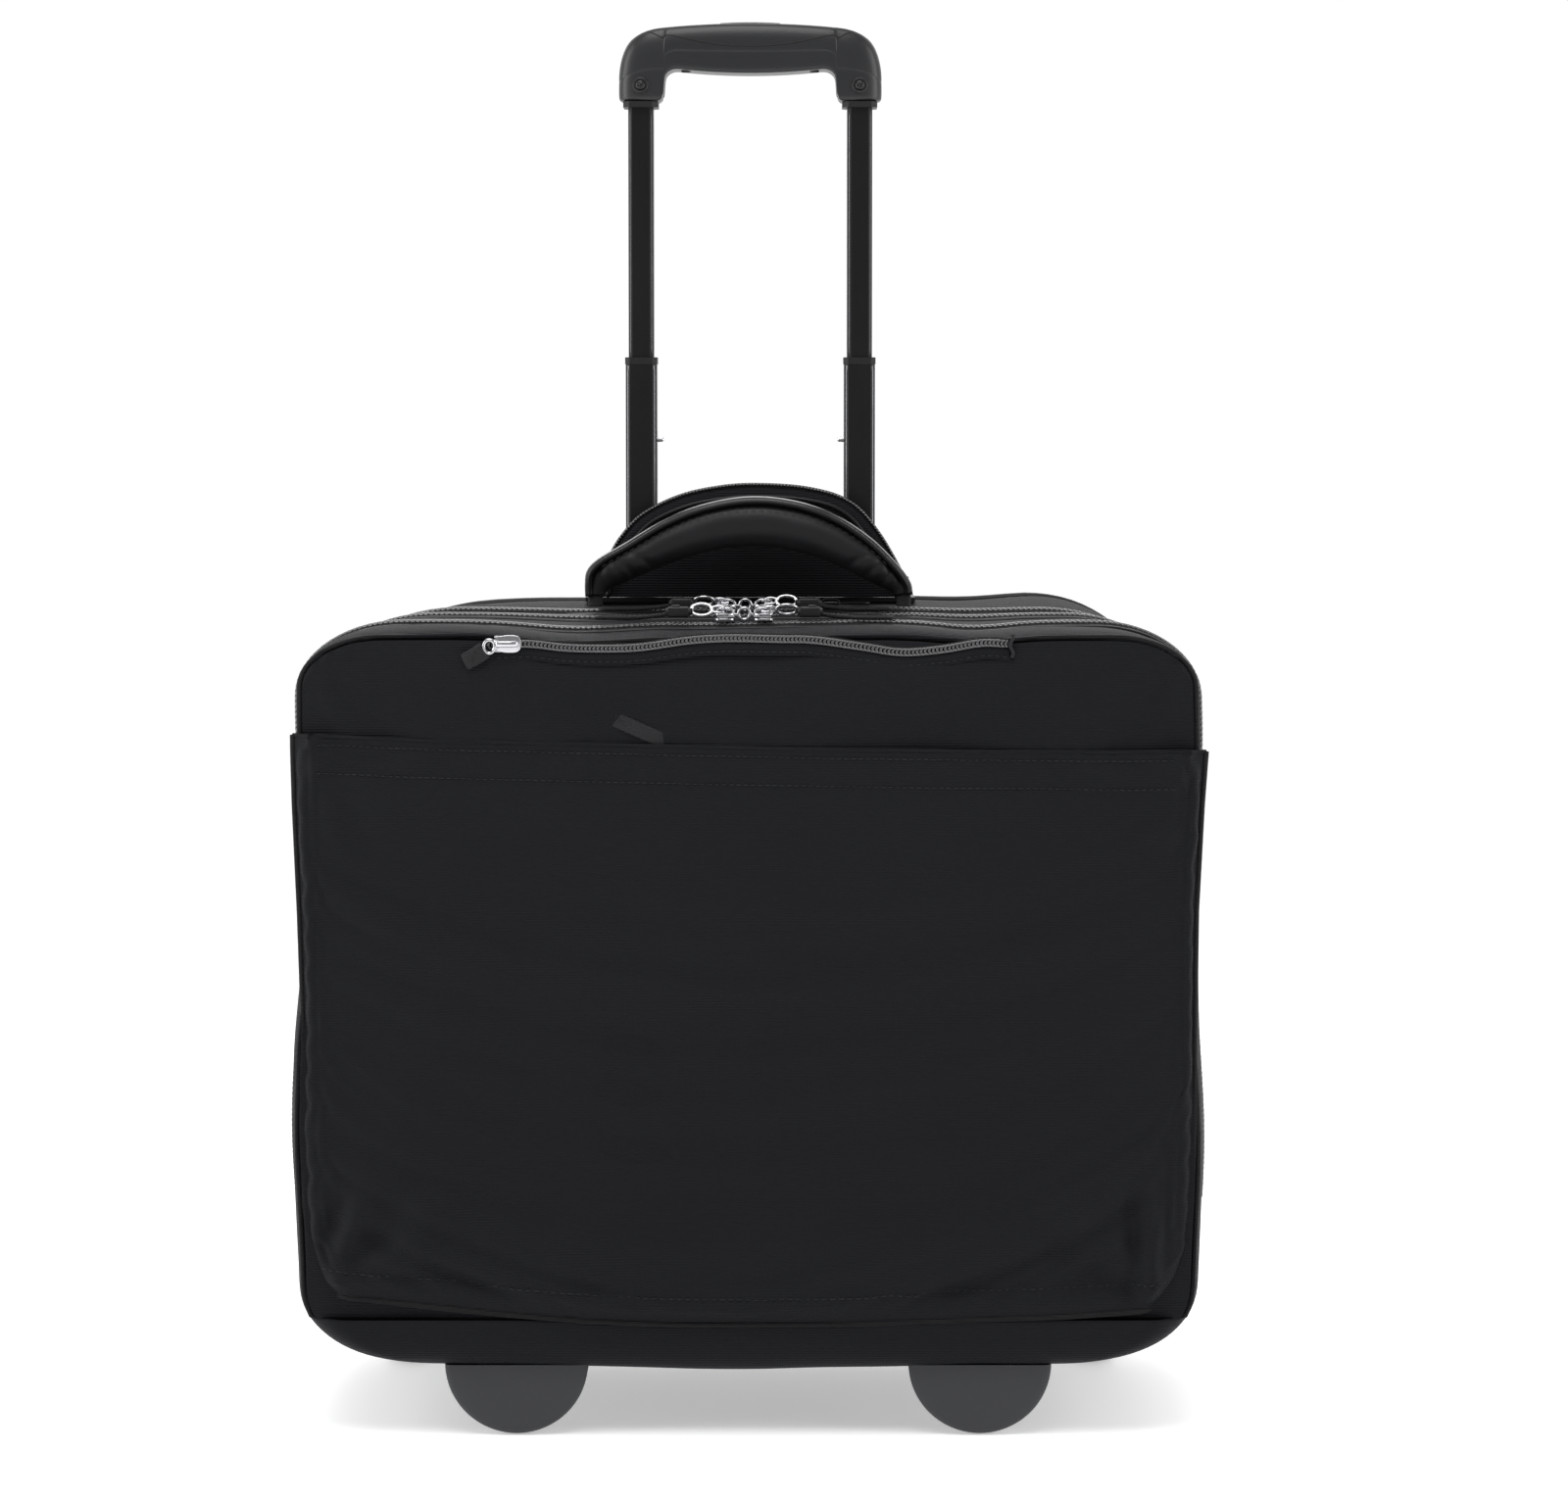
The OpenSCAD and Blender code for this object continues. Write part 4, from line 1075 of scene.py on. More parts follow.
# ------------------------------------------------------------------ stitches
def stitches(name, P, out, body, length=2.3, gap=1.3, r=0.28, mat=None, slot="trim_fabric", sink=0.1):
    """a row of separate stitches lying along P"""
    P = np.asarray(P, float)
    Ls = np.r_[0, np.cumsum(np.linalg.norm(np.diff(P, axis=0), axis=1))]
    s = np.arange(length, Ls[-1] - length, length + gap)
    at = lambda t: np.stack([np.interp(t, Ls, P[:, k]) for k in range(3)], 1)
    C, A, B = at(s), at(s - length / 2), at(s + length / 2)
    out = np.asarray(out, float)
    if out.ndim == 1:
        O = np.tile(out, (len(s), 1))
    else:
        O = np.stack([np.interp(s, Ls, out[:, k]) for k in range(3)], 1)
    parts_v, parts_f, n = [], [], 0
    T = B - A
    T /= np.linalg.norm(T, axis=1)[:, None]
    O = O - T * (O * T).sum(1)[:, None]
    O /= np.linalg.norm(O, axis=1)[:, None]
    S = np.cross(T, O)
    tv, tf = tooth(length / 2, r, 5)
    up = 0.22 * (1 - (tv[:, 0] / (length / 2)) ** 2)
    V = C[:, None] + tv[None, :, 0:1] * T[:, None] + tv[None, :, 1:2] * S[:, None] + (tv[None, :, 2:3] + up[None, :, None] - sink) * O[:, None]
    F = [[k * len(tv) + i for i in f] for k in range(len(s)) for f in tf]
    ob = add(name, V.reshape(-1, 3), F, mat or THREAD)
    recalc(ob)
    finish_piece(ob, body, slot)
    return ob


# ------------------------------------------------------------------ slip pocket on the cover
FACE_Y = -103.4


def pocket_top(x):
    return 329.5 - 0.0182 * x


POCKET_LOW = [(-214, 68.8), (-196, 68.8), (-160, 64.5), (-120, 60.2), (-75, 56.6), (-29, 54.9), (30, 54.9), (80, 56.2), (150, 58.8), (193, 61.8), (214, 61.8)]
SIDE_Z = [50, 62, 69, 76, 90, 110, 150, 200, 250, 300, 326, 345]
SIDE_L = [-192, -194, -196.5, -202, -207, -209.5, -210.6, -209.6, -211.0, -213.0, -213.6, -213.6]
SIDE_R = [190, 193, 198, 203, 207.5, 209.5, 210.8, 210.6, 211.0, 213.4, 215.2, 215.6]


def make_pocket():
    nx, nz_ = 118, 78
    us = np.sin(np.linspace(-1, 1, nx) * math.pi / 2) * 0.35 + np.linspace(-1, 1, nx) * 0.65
    G = np.zeros((nx, nz_, 3))
    lx, lz = zip(*POCKET_LOW)
    for i, u0 in enumerate(us):
        xb = (u0 * 194.8) - 1.5
        zb = float(np.interp(xb, lx, lz))
        xt = u0 * 214.4 + 0.9
        zt = pocket_top(xt)
        t = np.linspace(0, 1, nz_)
        z = zb + t * (zt - zb)
        xl, xr = np.interp(z, SIDE_Z, SIDE_L), np.interp(z, SIDE_Z, SIDE_R)
        G[i, :, 0] = (xl + xr) / 2 + u0 * (xr - xl) / 2
        G[i, :, 2] = z
        u = abs(u0)
        G[i, :, 1] = FACE_Y - 1.2 - 2.6 * (1 - u ** 6) * np.sin(np.pi * np.clip(t, 0, 1) ** 0.8) ** 0.5 * (0.6 + 0.4 * t) + 5.0 * sm((u - 0.955) / 0.045)
    xs = us
    flat_area = 0.0
    V, F = grid(G)
    me = bpy.data.meshes.new("slip_pocket_skin")
    me.from_pydata([tuple(v) for v in V * MM], [], F)
    ob = bpy.data.objects.new("slip_pocket_skin", me)
    scene.collection.objects.link(ob)
    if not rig.quick():
        gx, gz = xs, np.linspace(0, 1, nz_)
        # a backing sheet to lie against
        bx = np.linspace(-215, 215, 24)
        bz = np.linspace(50, 345, 18)
        BG = np.zeros((24, 18, 3))
        BG[..., 0] = bx[:, None]
        BG[..., 2] = bz[None]
        BG[..., 1] = FACE_Y + 0.2
        bv, bf = grid(BG)
        bme = bpy.data.meshes.new("backing")
        bme.from_pydata([tuple(v) for v in bv * MM], [], bf)
        back = bpy.data.objects.new("backing", bme)
        scene.collection.objects.link(back)
        cm = back.modifiers.new("c", "COLLISION")
        back.collision.thickness_outer = 0.0008
        pin = ob.vertex_groups.new(name="pin")
        for i in range(nx):
            for j in range(nz_):
                w_ = 0.0
                if i < 2 or i > nx - 3 or j < 2:
                    w_ = 1.0
                elif j > nz_ - 3:
                    w_ = 0.35 if 3 < i < nx - 4 else 1.0
                if w_:
                    pin.add([i * nz_ + j], w_, "REPLACE")
        md = ob.modifiers.new("cloth", "CLOTH")
        s = md.settings
        s.quality = 7
        s.mass = 0.25
        s.tension_stiffness = 25
        s.compression_stiffness = 12
        s.shear_stiffness = 6
        s.bending_stiffness = 0.35
        s.tension_damping = s.compression_damping = s.shear_damping = 12
        s.air_damping = 4
        s.shrink_min = -0.022
        s.vertex_group_mass = "pin"
        s.use_pressure = False
        s.effector_weights.gravity = 0.35
        md.collision_settings.distance_min = 0.0008
        md.collision_settings.use_self_collision = False
        md.point_cache.frame_start = 1
        md.point_cache.frame_end = 26
        for fr in range(1, 27):
            scene.frame_set(fr)
        bpy.context.view_layer.update()
        dg = bpy.context.evaluated_depsgraph_get()
        ev = ob.evaluated_get(dg)
        W = np.array([tuple(v.co) for v in ev.data.vertices]) / MM
        ob.modifiers.clear()
        dlt = W - V
        L = np.linalg.norm(dlt, axis=1)
        k = np.minimum(1, 4.5 / np.maximum(L, 1e-6))
        W = V + dlt * k[:, None]
        W[:, 1] = np.clip(W[:, 1], -112.0, -94)
        bpy.data.objects.remove(back)
        bpy.data.meshes.remove(bme)
        scene.frame_set(1)
    else:
        W = V.copy()
    x, z = W[:, 0], W[:, 2]

    def crease(x0, z0, x1, z1, w, amp):
        """a soft ridge with a valley beside it"""
        d = np.array([x1 - x0, z1 - z0], float)
        Ln = np.hypot(*d)
        d /= Ln
        t = ((x - x0) * d[0] + (z - z0) * d[1]) / Ln
        q = (x - x0) * -d[1] + (z - z0) * d[0]
        f = sm(t / 0.15 + 0.5) * sm((1 - t) / 0.5 + 0.2) * (t > -0.6) * (t < 1.4)
        return amp * f * (np.exp(-(q / w) ** 2) - 0.8 * np.exp(-((q - 1.7 * w) / w) ** 2))

    dy = np.zeros(len(W))
    for a in ((-198, 70, -180, 118, 5.5, 4.2), (-194, 74, -150, 92, 6, 3.0), (191, 66, 188, 126, 4.6, 3.8), (194, 70, 164, 96, 6, 2.6), (-178, 76, -140, 120, 9, 1.8), (178, 80, 132, 128, 10, 1.8),
              (-206, 322, -160, 296, 7, 1.1), (206, 320, 168, 292, 7, 1.2), (-206, 326, -186, 270, 6, 1.0), (206, 326, 190, 268, 6, 1.0),
              (-206, 150, -150, 170, 14, 0.7), (206, 160, 140, 190, 16, 0.8), (-120, 100, 100, 92, 26, 0.6), (60, 64, 20, 104, 14, 0.5), (-90, 64, -70, 110, 12, 0.5)):
        dy -= crease(*a)
    dy -= 1.5 * nzv(W, 0.010, 71.0, (1, 1, 1.4)) + 0.8 * nzv(W, 0.028, 77.0)
    edge = sm((np.interp(z, SIDE_Z, SIDE_R) - np.abs(x)) / 10)
    W[:, 1] += dy * edge * (0.25 + 0.75 * sm((z - 62) / 8))
    W[:, 1] = np.clip(W[:, 1], -111.6, -94)
    # the upper hem stands a little off the face, waved
    hem = sm((z - 312) / 18)
    W[:, 1] -= hem * (0.7 + 0.5 * np.sin(x * 0.021 + 0.6)) * edge
    # padded rim along the lower edge
    low = np.repeat(np.array([W.reshape(nx, nz_, 3)[i, 0, 2] for i in range(nx)]), nz_)
    W[:, 1] -= 1.5 * gauss(z - low, 6.5, 4.0) * edge
    W[:, 1] += 1.2 * gauss(z - low, 14.0, 2.6) * edge
    W[:, 2] -= 0
    me.vertices.foreach_set("co", (W * MM).ravel())
    me.materials.append(FABP)
    me.update()
    recalc(ob)
    m = ob.modifiers.new("sub", "SUBSURF")
    m.levels = m.render_levels = 1
    m = ob.modifiers.new("thick", "SOLIDIFY")
    m.thickness = 1.3 * MM
    m.offset = 0
    apply_all(ob)
    ob.data.materials.clear()
    ob.data.materials.append(FABP)
    return ob, W.reshape(nx, nz_, 3)


pocket, PG = make_pocket()
finish_piece(pocket, "cover", "pocket_fabric", ("slip_pocket",))
_e = PG
flat = 0.0
for i in range(0, PG.shape[0] - 1):
    pass
a_w = np.linalg.norm(np.diff(PG, axis=0), axis=2).sum(0).mean()
a_h = np.linalg.norm(np.diff(PG, axis=1), axis=2).sum(1).mean()
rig.sheet(pocket, flat=(round(a_w / 1000, 3), round(a_h / 1000, 3)), held="stretched", rests_on="cover_skin")
print("POCKET", a_w, a_h)

# hem fold and its two stitch rows
top = PG[:, -1].copy()
hemo = top + np.array([0, -0.75, -0.2])
V, F = sweep(resample(top + np.array([0, 0.0, -0.2]), 3), 1.05, 8, up=(0, 0, 1))
ob = add("pocket_hem_roll", V, F, FABP)
recalc(ob)
finish_piece(ob, "cover", "pocket_fabric")


def on_pocket(x, below, out=0.85):
    """points on the pocket a given distance below its top edge"""
    xs = PG[:, -1, 0]
    res = []
    for xi in np.atleast_1d(x):
        i = int(np.clip(np.searchsorted(xs, xi), 1, len(xs) - 1))
        t = (xi - xs[i - 1]) / (xs[i] - xs[i - 1])
        col = PG[i - 1] * (1 - t) + PG[i] * t
        zt = col[-1, 2] - below
        y = np.interp(zt, col[:, 2], col[:, 1])
        res.append((xi, y - out, zt))
    return np.array(res)


xs = np.linspace(-203, 203, 140)
stitches("pocket_hem_stitch_1", on_pocket(xs, 4.2), (0, -1, 0), "cover", 2.2, 1.2)
stitches("pocket_hem_stitch_2", on_pocket(xs, 17.5), (0, -1, 0), "cover", 2.2, 1.2)
hb = PG[:, 3].copy()
stitches("pocket_low_stitch", resample(PG[1:-1, 4] + np.array([0, -1.0, 0]), 3), (0, -1, 0), "cover", 2.4, 1.6)
# side bindings of the pocket
for nm, i in (("left", 0), ("right", -1)):
    P = PG[i].copy()
    V, F = sweep(resample(P, 3), 1.5, 8, up=(0, -1, 0))
    ob = add("pocket_edge_" + nm, V, F, TRIM)
    recalc(ob)
    finish_piece(ob, "cover", "trim_fabric")
V, F = sweep(resample(PG[:, 0] + np.array([0, 0.3, -0.6]), 3), 1.7, 8, up=(0, -1, 0))
ob = add("pocket_edge_low", V, F, TRIM)
recalc(ob)
finish_piece(ob, "cover", "trim_fabric")

# two small webbing tabs above the pocket
def tab(name, c, w, h, ang, y):
    nu, nv = 14, 8
    G = np.zeros((nu, nv, 3))
    ca, sa = math.cos(ang), math.sin(ang)
    for i in range(nu):
        for j in range(nv):
            a, b = (i / (nu - 1) - 0.5) * w, (j / (nv - 1) - 0.5) * h
            G[i, j] = (c[0] + a * ca - b * sa, y - 1.0 * math.cos(a / w * 2.6), c[1] + a * sa + b * ca)
    V, F = grid(G)
    ob = add(name, V, F, WEB, solid=1.3)
    recalc(ob)
    b_ = ob.modifiers.new("b", "BEVEL")
    b_.width = 0.4 * MM
    b_.segments = 2
    b_.limit_method = "ANGLE"
    apply_all(ob)
    finish_piece(ob, "cover", "webbing")
    return ob


tab("webbing_tab_left", (-51, 336.0), 27, 7.0, math.radians(-24), -103.7)
tab("webbing_tab_right", (44, 329.4), 21, 6.5, math.radians(19), -103.7)
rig.replaces(bpy.data.objects["webbing_tab_left"], "webbing_tabs")
stitches("tab_stitch", [(-62.0, -104.9, 343.6), (-59.2, -105.1, 337.4)], (0, -1, 0), "cover", 1.2, 0.7)

# ------------------------------------------------------------------ the pocket's zip on the cover face
PZ = np.array([(-122, 375.6), (-102.6, 376.4), (-88, 374.8), (-75, 374.2), (-52, 374.6), (-29, 377.8), (-14, 378.9), (-1, 379.0), (15, 378.6), (31, 378.2), (54, 375.0), (72, 372.4), (91, 373.8), (109, 376.8), (123, 376.4)])
PZc = catmull(np.stack([PZ[:, 0], np.full(len(PZ), -104.9), PZ[:, 1]], 1), 8)
for nm, sd in (("up", 1), ("down", -1)):
    coil("pocket_zip_" + nm, PZc, np.tile([0, -1, 0.0], (len(PZc), 1)), sd, COIL, "cover", "zip_coil", pitch=1.9, L=1.35, r=0.6, lateral=(0, 0, 1), slant=0.55, replaces=("pocket_zip",) if sd > 0 else (), gap=0.35)
# tape strip and the welt under it
for nm, dz, w_ in (("zip_tape_up", 1.5, 0.9), ("zip_tape_down", -4.6, 3.2)):
    R = [PZc + np.array([0, 0.9 + 0.25 * k, dz + (k - 0.5) * w_ * 2]) for k in (0, 0.5, 1)]
    V, F = grid(np.stack(R))
    ob = add("pocket_" + nm, V, F, TAPE if dz > 0 else FAB, solid=0.8)
    recalc(ob)
    finish_piece(ob, "cover", "trim_fabric")
stitches("pocket_zip_stitch_low", PZc + np.array([0, 0.1, -6.0]), (0, -1, 0), "cover", 2.1, 1.3)
# end tack
V, F = sweep(np.array([(123.5 + 0.7 * math.sin(t * 9), -105.0, 370 + t * 11) for t in np.linspace(0, 1, 40)]), 0.9, 6)
ob = add("pocket_zip_tack", V, F, THREAD)
recalc(ob)
finish_piece(ob, "cover", "trim_fabric")


# ------------------------------------------------------------------ sliders
def slider_mesh(L, W, H, neck=0.62):
    """a zip slider lying in XY along X, wide end at +X, top side +Z"""
    out = []
    def plan(w0, w1, l):
        p = [(-l / 2, -w0 / 2), (-l * 0.12, -w1 / 2), (l * 0.34, -w1 / 2), (l / 2, -w1 * 0.30), (l / 2, w1 * 0.30), (l * 0.34, w1 / 2), (-l * 0.12, w1 / 2), (-l / 2, w0 / 2)]
        q = []
        for i in range(len(p)):
            a, b, c = np.array(p[i - 1]), np.array(p[i]), np.array(p[(i + 1) % len(p)])
            for t in (0.25, 0.5, 0.75):
                q.append(tuple((1 - t) ** 2 * (a + b) / 2 + 2 * t * (1 - t) * b + t * t * (b + c) / 2))
        return q
    out.append(plate(plan(W * neck, W, L), -0.2, 1.0, 0.35))
    out.append(plate(plan(W * neck, W, L), H - 1.1, H, 0.4))
    out.append(moved(box_round((-1.2, -1.3, 0.8), (1.9, 1.3, H - 0.8), 0.3), (L * 0.18, 0, 0)))
    for s in (-1, 1):
        out.append(box_round((-L / 2 + 0.5, s * W * 0.40 - 0.5, H - 2.2), (L * 0.25, s * W * 0.40 + 0.5, H - 0.6), 0.25))
    return join(out)


def rot_x(a):
    c, s = math.cos(a), math.sin(a)
    return [[1, 0, 0], [0, c, -s], [0, s, c]]


def rot_y(a):
    c, s = math.cos(a), math.sin(a)
    return [[c, 0, s], [0, 1, 0], [-s, 0, c]]


def rot_z(a):
    c, s = math.cos(a), math.sin(a)
    return [[c, -s, 0], [s, c, 0], [0, 0, 1]]


def big_slider(sx, piv, y, base):
    """lockable slider: body, upright eye and bridge, all in the frame; sx is the side"""
    p = [moved(slider_mesh(9.8, 8.8, 3.4), (-2 + sx * 9.2, y, base), mirror_x=sx < 0)]
    # bridge with a pivot for the puller
    arch = np.array([(-4.4, 0, 2.8), (-4.0, 0, 4.6), (-2.2, 0, 5.7), (0, 0, 5.9), (2.0, 0, 5.6), (3.4, 0, 4.6), (3.9, 0, 2.9)])
    v, f = sweep(catmull(arch, 5), 0.75, 8, rx=1.5, up=(0, 0, 1))
    p.append(moved((v, f), (-2 + sx * 9.4, y, base), mirror_x=sx < 0))
    # the round eye at the meeting end stands upright
    p.append(moved(torus((0, 0, 0), 2.75, 0.8, 28, 10, "y", flat=0.9), (-2, y + sx * 1.0, base + 3.1)))
    p.append(moved(box_round((-2.2, -0.8, -0.8), (2.2, 0.8, 0.8), 0.3), (-2 + sx * 4.6, y + sx * 0.9, base + 2.6)))
    p.append(moved(plate(circle(1.25, 16), -0.1, 0.7, 0.2), (-2 + sx * 12.2, y, base + 3.3)))
    return join(p)


def puller(sx, y, zp):
    """oval ring puller lying outward from its pivot"""
    p = []
    p.append(moved(torus((0, 0, 0), 3.3, 0.95, 36, 10, "z", Rx=5.0, flat=0.85), (sx * 10.3, 0, 0)))
    # twin prongs that reach the pivot
    for s in (-1, 1):
        path = catmull(np.array([(sx * 0.0, s * 1.5, 0), (sx * 2.4, s * 1.8, 0.3), (sx * 4.2, s * 1.5, 0.2), (sx * 5.8, s * 0.9, 0)]), 5)
        p.append(sweep(path, 0.72, 8))
    p.append(sweep(np.array([(0, -2.0, 0), (0, -1, 0), (0, 1, 0), (0, 2.0, 0)]), 0.7, 8, up=(0, 0, 1)))
    p.append(torus((0, 0, 0), 1.5, 0.8, 20, 8, "y"))
    tilt = {(-1, -64): 0.95, (1, -64): -0.8, (-1, 2): -0.7, (1, 2): 0.9}[(sx, int(y))]
    return moved(join(p), (-2 + sx * 10, y, zp), rot=rot_x(tilt))


CORDS = []
LOOP = [[24.6, -1.6, 0], [29, -1.6, -0.7], [33, -1.6, -1.4], [38, -1.9, -2.3], [44, -2.5, -3.1], [50, -3.2, -3.6], [56, -3.9, -3.8], [61, -4.3, -3.8], [65, -4.25, -3.8], [68.3, -3.1, -3.8], [70.2, -1.1, -3.8]]
PART_W = {"front": (-64, 385.4, 390.4, "front"), "middle": (2, 386.4, 391.4, "middle")}
for sec, (y, base, zp, _) in PART_W.items():
    for side, sx in (("left", -1), ("right", 1)):
        tag = sec + "_" + side
        V, F = big_slider(sx, zp, y, base)
        ob = add(tag + "_slider_metal", V, F, SILVER)
        recalc(ob)
        finish_piece(ob, tag + "_slider", "silver", (sec + "_slider_" + side,))
        V, F = puller(sx, y, zp)
        ob = add(tag + "_ring_metal", V, F, SILVER)
        recalc(ob)
        finish_piece(ob, tag + "_pull", "silver", (sec + "_puller_" + side,))
        # the braided loop through the ring
        lo = np.array(LOOP, float)
        wig = 0.9 * np.array([0, .2, .5, .8, 1, .9, .5, 0, -.4, -.3, 0]) * (1 if (sx > 0) == (sec == "front") else -0.8)
        A = np.stack([-2 + sx * lo[:, 0], y + lo[:, 1] + wig, zp + lo[:, 2]], 1)
        B = np.stack([-2 + sx * lo[::-1, 0], y - lo[::-1, 1] + wig[::-1], zp + lo[::-1, 2]], 1)
        turn = np.array([(-2 + sx * 15.0, y - 1.5, zp - 1.5), (-2 + sx * 13.6, y, zp - 1.9), (-2 + sx * 15.0, y + 1.5, zp - 1.5)])
        P = catmull(np.concatenate([A, B]), 6)
        r_ = 1.0
        T_, N_, B_ = frames(P, False)
        V, F = sweep(P, r_, 10)
        # braid relief
        Ls = np.r_[0, np.cumsum(np.linalg.norm(np.diff(P, axis=0), axis=1))]
        ob = add(tag + "_pull_cord", V, F, BRAID)
        recalc(ob)
        finish_piece(ob, tag + "_pull", "cord_black", (sec + "_cord_" + side,))
        Lc = float(Ls[-1]) * MM
        CORDS.append((ob, [tuple(float(c) * MM for c in p) for p in P], Lc))
        # the moulded stop on both strands
        p = [box_round((-2 + sx * 31.4 - 5.2, y - 3.4, zp - 3.6), (-2 + sx * 31.4 + 5.2, y + 3.4, zp + 1.5), 0.9, 3)]
        for s_ in (-1, 1):
            p.append(moved(lathe([(1.5, -5.9), (1.75, -5.6), (1.75, 5.6), (1.5, 5.9)], 16, "x"), (-2 + sx * 31.4, y + s_ * 1.6, zp - 1.0)))
        p.append(box_round((-2 + sx * 32.6 - 2.0, y - 2.2, zp + 1.0), (-2 + sx * 32.6 + 2.0, y + 2.2, zp + 2.3), 0.4, 2))
        V, F = join(p)
        ob2 = add(tag + "_pull_stop", V, F, STOPM)
        recalc(ob2)
        finish_piece(ob2, tag + "_pull", "plastic_black", (sec + "_stop_" + side,))
        CORDS[-1] = CORDS[-1] + (ob2,)

# ------------------------------------------------------------------ silver slider and looped puller of the pocket zip
p = []
sm_ = slider_mesh(13, 8.2, 2.9)
sv, sf = sm_
sv = np.stack([sv[:, 0], -sv[:, 2], sv[:, 1]], 1)
p.append((np.array(sv) + np.array([-112.5, -103.4, 376.4]), sf))
arch = catmull(np.array([(-5.0, -2.4, 0), (-4.6, -4.0, 0), (-2.0, -4.5, 0), (1.5, -4.3, 0), (4.2, -3.2, 0), (4.6, -2.4, 0)]), 5)
v, f = sweep(arch, 0.75, 8, rx=1.5, up=(0, -1, 0))
p.append((v + np.array([-112.5, -103.4, 376.4]), f))
p += [sweep(catmull(np.array([(-116.5, -106.2, 377.4), (-118.0, -106.8, 377.4), (-119.6, -106.2, 377.6)]), 5), 0.8, 8),
      sweep(catmull(np.array([(-116.5, -106.2, 375.2), (-118.0, -106.8, 374.8), (-119.2, -106.2, 373.8)]), 5), 0.8, 8)]
V, F = join(p)
ob = add("pocket_slider_metal", V, F, SILVER)
recalc(ob)
finish_piece(ob, "pocket_zip_slider", "silver", ("pocket_slider",))
p = [moved(torus((0, 0, 0), 3.1, 0.8, 32, 8, "y", Rx=2.6, flat=1.0), (-120.8, -106.7, 375.2))]
V, F = join(p)
ob = add("pocket_puller_metal", V, F, SILVER)
recalc(ob)
finish_piece(ob, "pocket_pull", "silver", ("pocket_puller",))
# ribbed webbing loop through the ring
loop = catmull(np.array([(-123.0, -106.3, 373.6), (-124.0, -107.4, 372.9), (-126.0, -107.6, 371.6), (-129.0, -107.5, 369.8), (-131.6, -107.3, 368.4), (-132.2, -106.8, 368.1), (-130.4, -106.3, 369.0), (-127.0, -106.3, 371.0), (-124.2, -106.3, 372.8)]), 7)
V, F = sweep(loop, 0.55, 8, rx=4.1, up=(0, -1, 0))
ob = add("pocket_pull_webbing", V, F, WEB)
recalc(ob)
finish_piece(ob, "pocket_pull", "webbing")
for k in (0.35, 0.45):
    i = int(k * len(loop))
stitches("pocket_pull_stitch", [(-127.2, -108.2, 373.4), (-129.8, -108.2, 367.4)], (0, -1, 0), "pocket_pull", 1.3, 0.6)

# rear zip's slider
p = [moved(slider_mesh(12, 8.4, 3.2), (40, 34.2, 386.2))]
arch = np.array([(-4.2, 0, 2.6), (-3.6, 0, 4.4), (0, 0, 4.9), (3.6, 0, 4.4), (4.2, 0, 2.6)])
v, f = sweep(catmull(arch, 5), 0.7, 8, rx=1.3)
p.append(moved((v, f), (40, 34.2, 385.9)))
p.append(moved(torus((0, 0, 0), 2.6, 0.8, 26, 8, "z", Rx=7.5, flat=0.8), (51.5, 34.0, 389.0)))
V, F = join(p)
ob = add("rear_slider_metal", V, F, DARKM)
recalc(ob)
V2 = ob
finish_piece(ob, "rear_zip_slider", "tube_black", ("rear_slider",))

# ------------------------------------------------------------------ carry handle
HT = np.array([(-80.4, 393), (-80.6, 399), (-79.6, 405.5), (-74, 411.2), (-61.2, 418.7), (-41.7, 430.4), (-22, 438.0), (0, 441.6), (21.9, 439.6), (41.4, 433.0), (58.5, 422.1), (72, 409.0), (78.6, 400), (79.8, 394)])
HB = np.array([(-71.5, 393), (-71.0, 395.0), (-68.0, 397), (-63.5, 398.8), (-56, 402), (-44, 407.2), (-30, 412.2), (-14, 416.2), (0, 417.4), (14, 416.6), (32, 412.4), (46, 406.6), (58, 400.4), (66.5, 396.6), (69.5, 395), (71.0, 393)])


def arc(P, n):
    Q = catmull(np.stack([P[:, 0], np.zeros(len(P)), P[:, 1]], 1), 12)
    L = np.r_[0, np.cumsum(np.linalg.norm(np.diff(Q, axis=0), axis=1))]
    s = np.linspace(0, L[-1], n)
    return np.stack([np.interp(s, L, Q[:, 0]), np.interp(s, L, Q[:, 2])], 1)


NH = 120
TA, BA = arc(HT, NH), arc(HB, NH)
HY = 18.0
NS = 36
# padded band between the lower arc and the seam just under the top edge
G = np.zeros((NH, NS, 3))
for i in range(NH):
    a = i / (NH - 1)
    ends = sm(a / 0.14) * sm((1 - a) / 0.14)
    half = 3.4 + 4.0 * ends
    lowp, topp = BA[i], TA[i]
    d = topp - lowp
    seam = lowp + d * (0.90 + 0.0 * ends)
    for j in range(NS):
        th = 2 * math.pi * j / NS
        c, s_ = math.cos(th), math.sin(th)
        # a plump section with a flatter front
        u = 0.5 + 0.5 * (abs(s_) ** 0.86) * (1 if s_ > 0 else -1)
        w_ = (abs(c) ** 0.72) * (1 if c > 0 else -1)
        pt = lowp + (seam - lowp) * u
        puff = 0.8 * math.sin(math.pi * u)
        G[i, j] = (pt[0], HY + w_ * half * (0.82 + 0.25 * math.sin(math.pi * min(1, max(0, u))) ** 0.6), pt[1])
V, F = grid(G, close_v=True)
F.append(list(range(NS)))
F.append([(NH - 1) * NS + j for j in range(NS)][::-1])
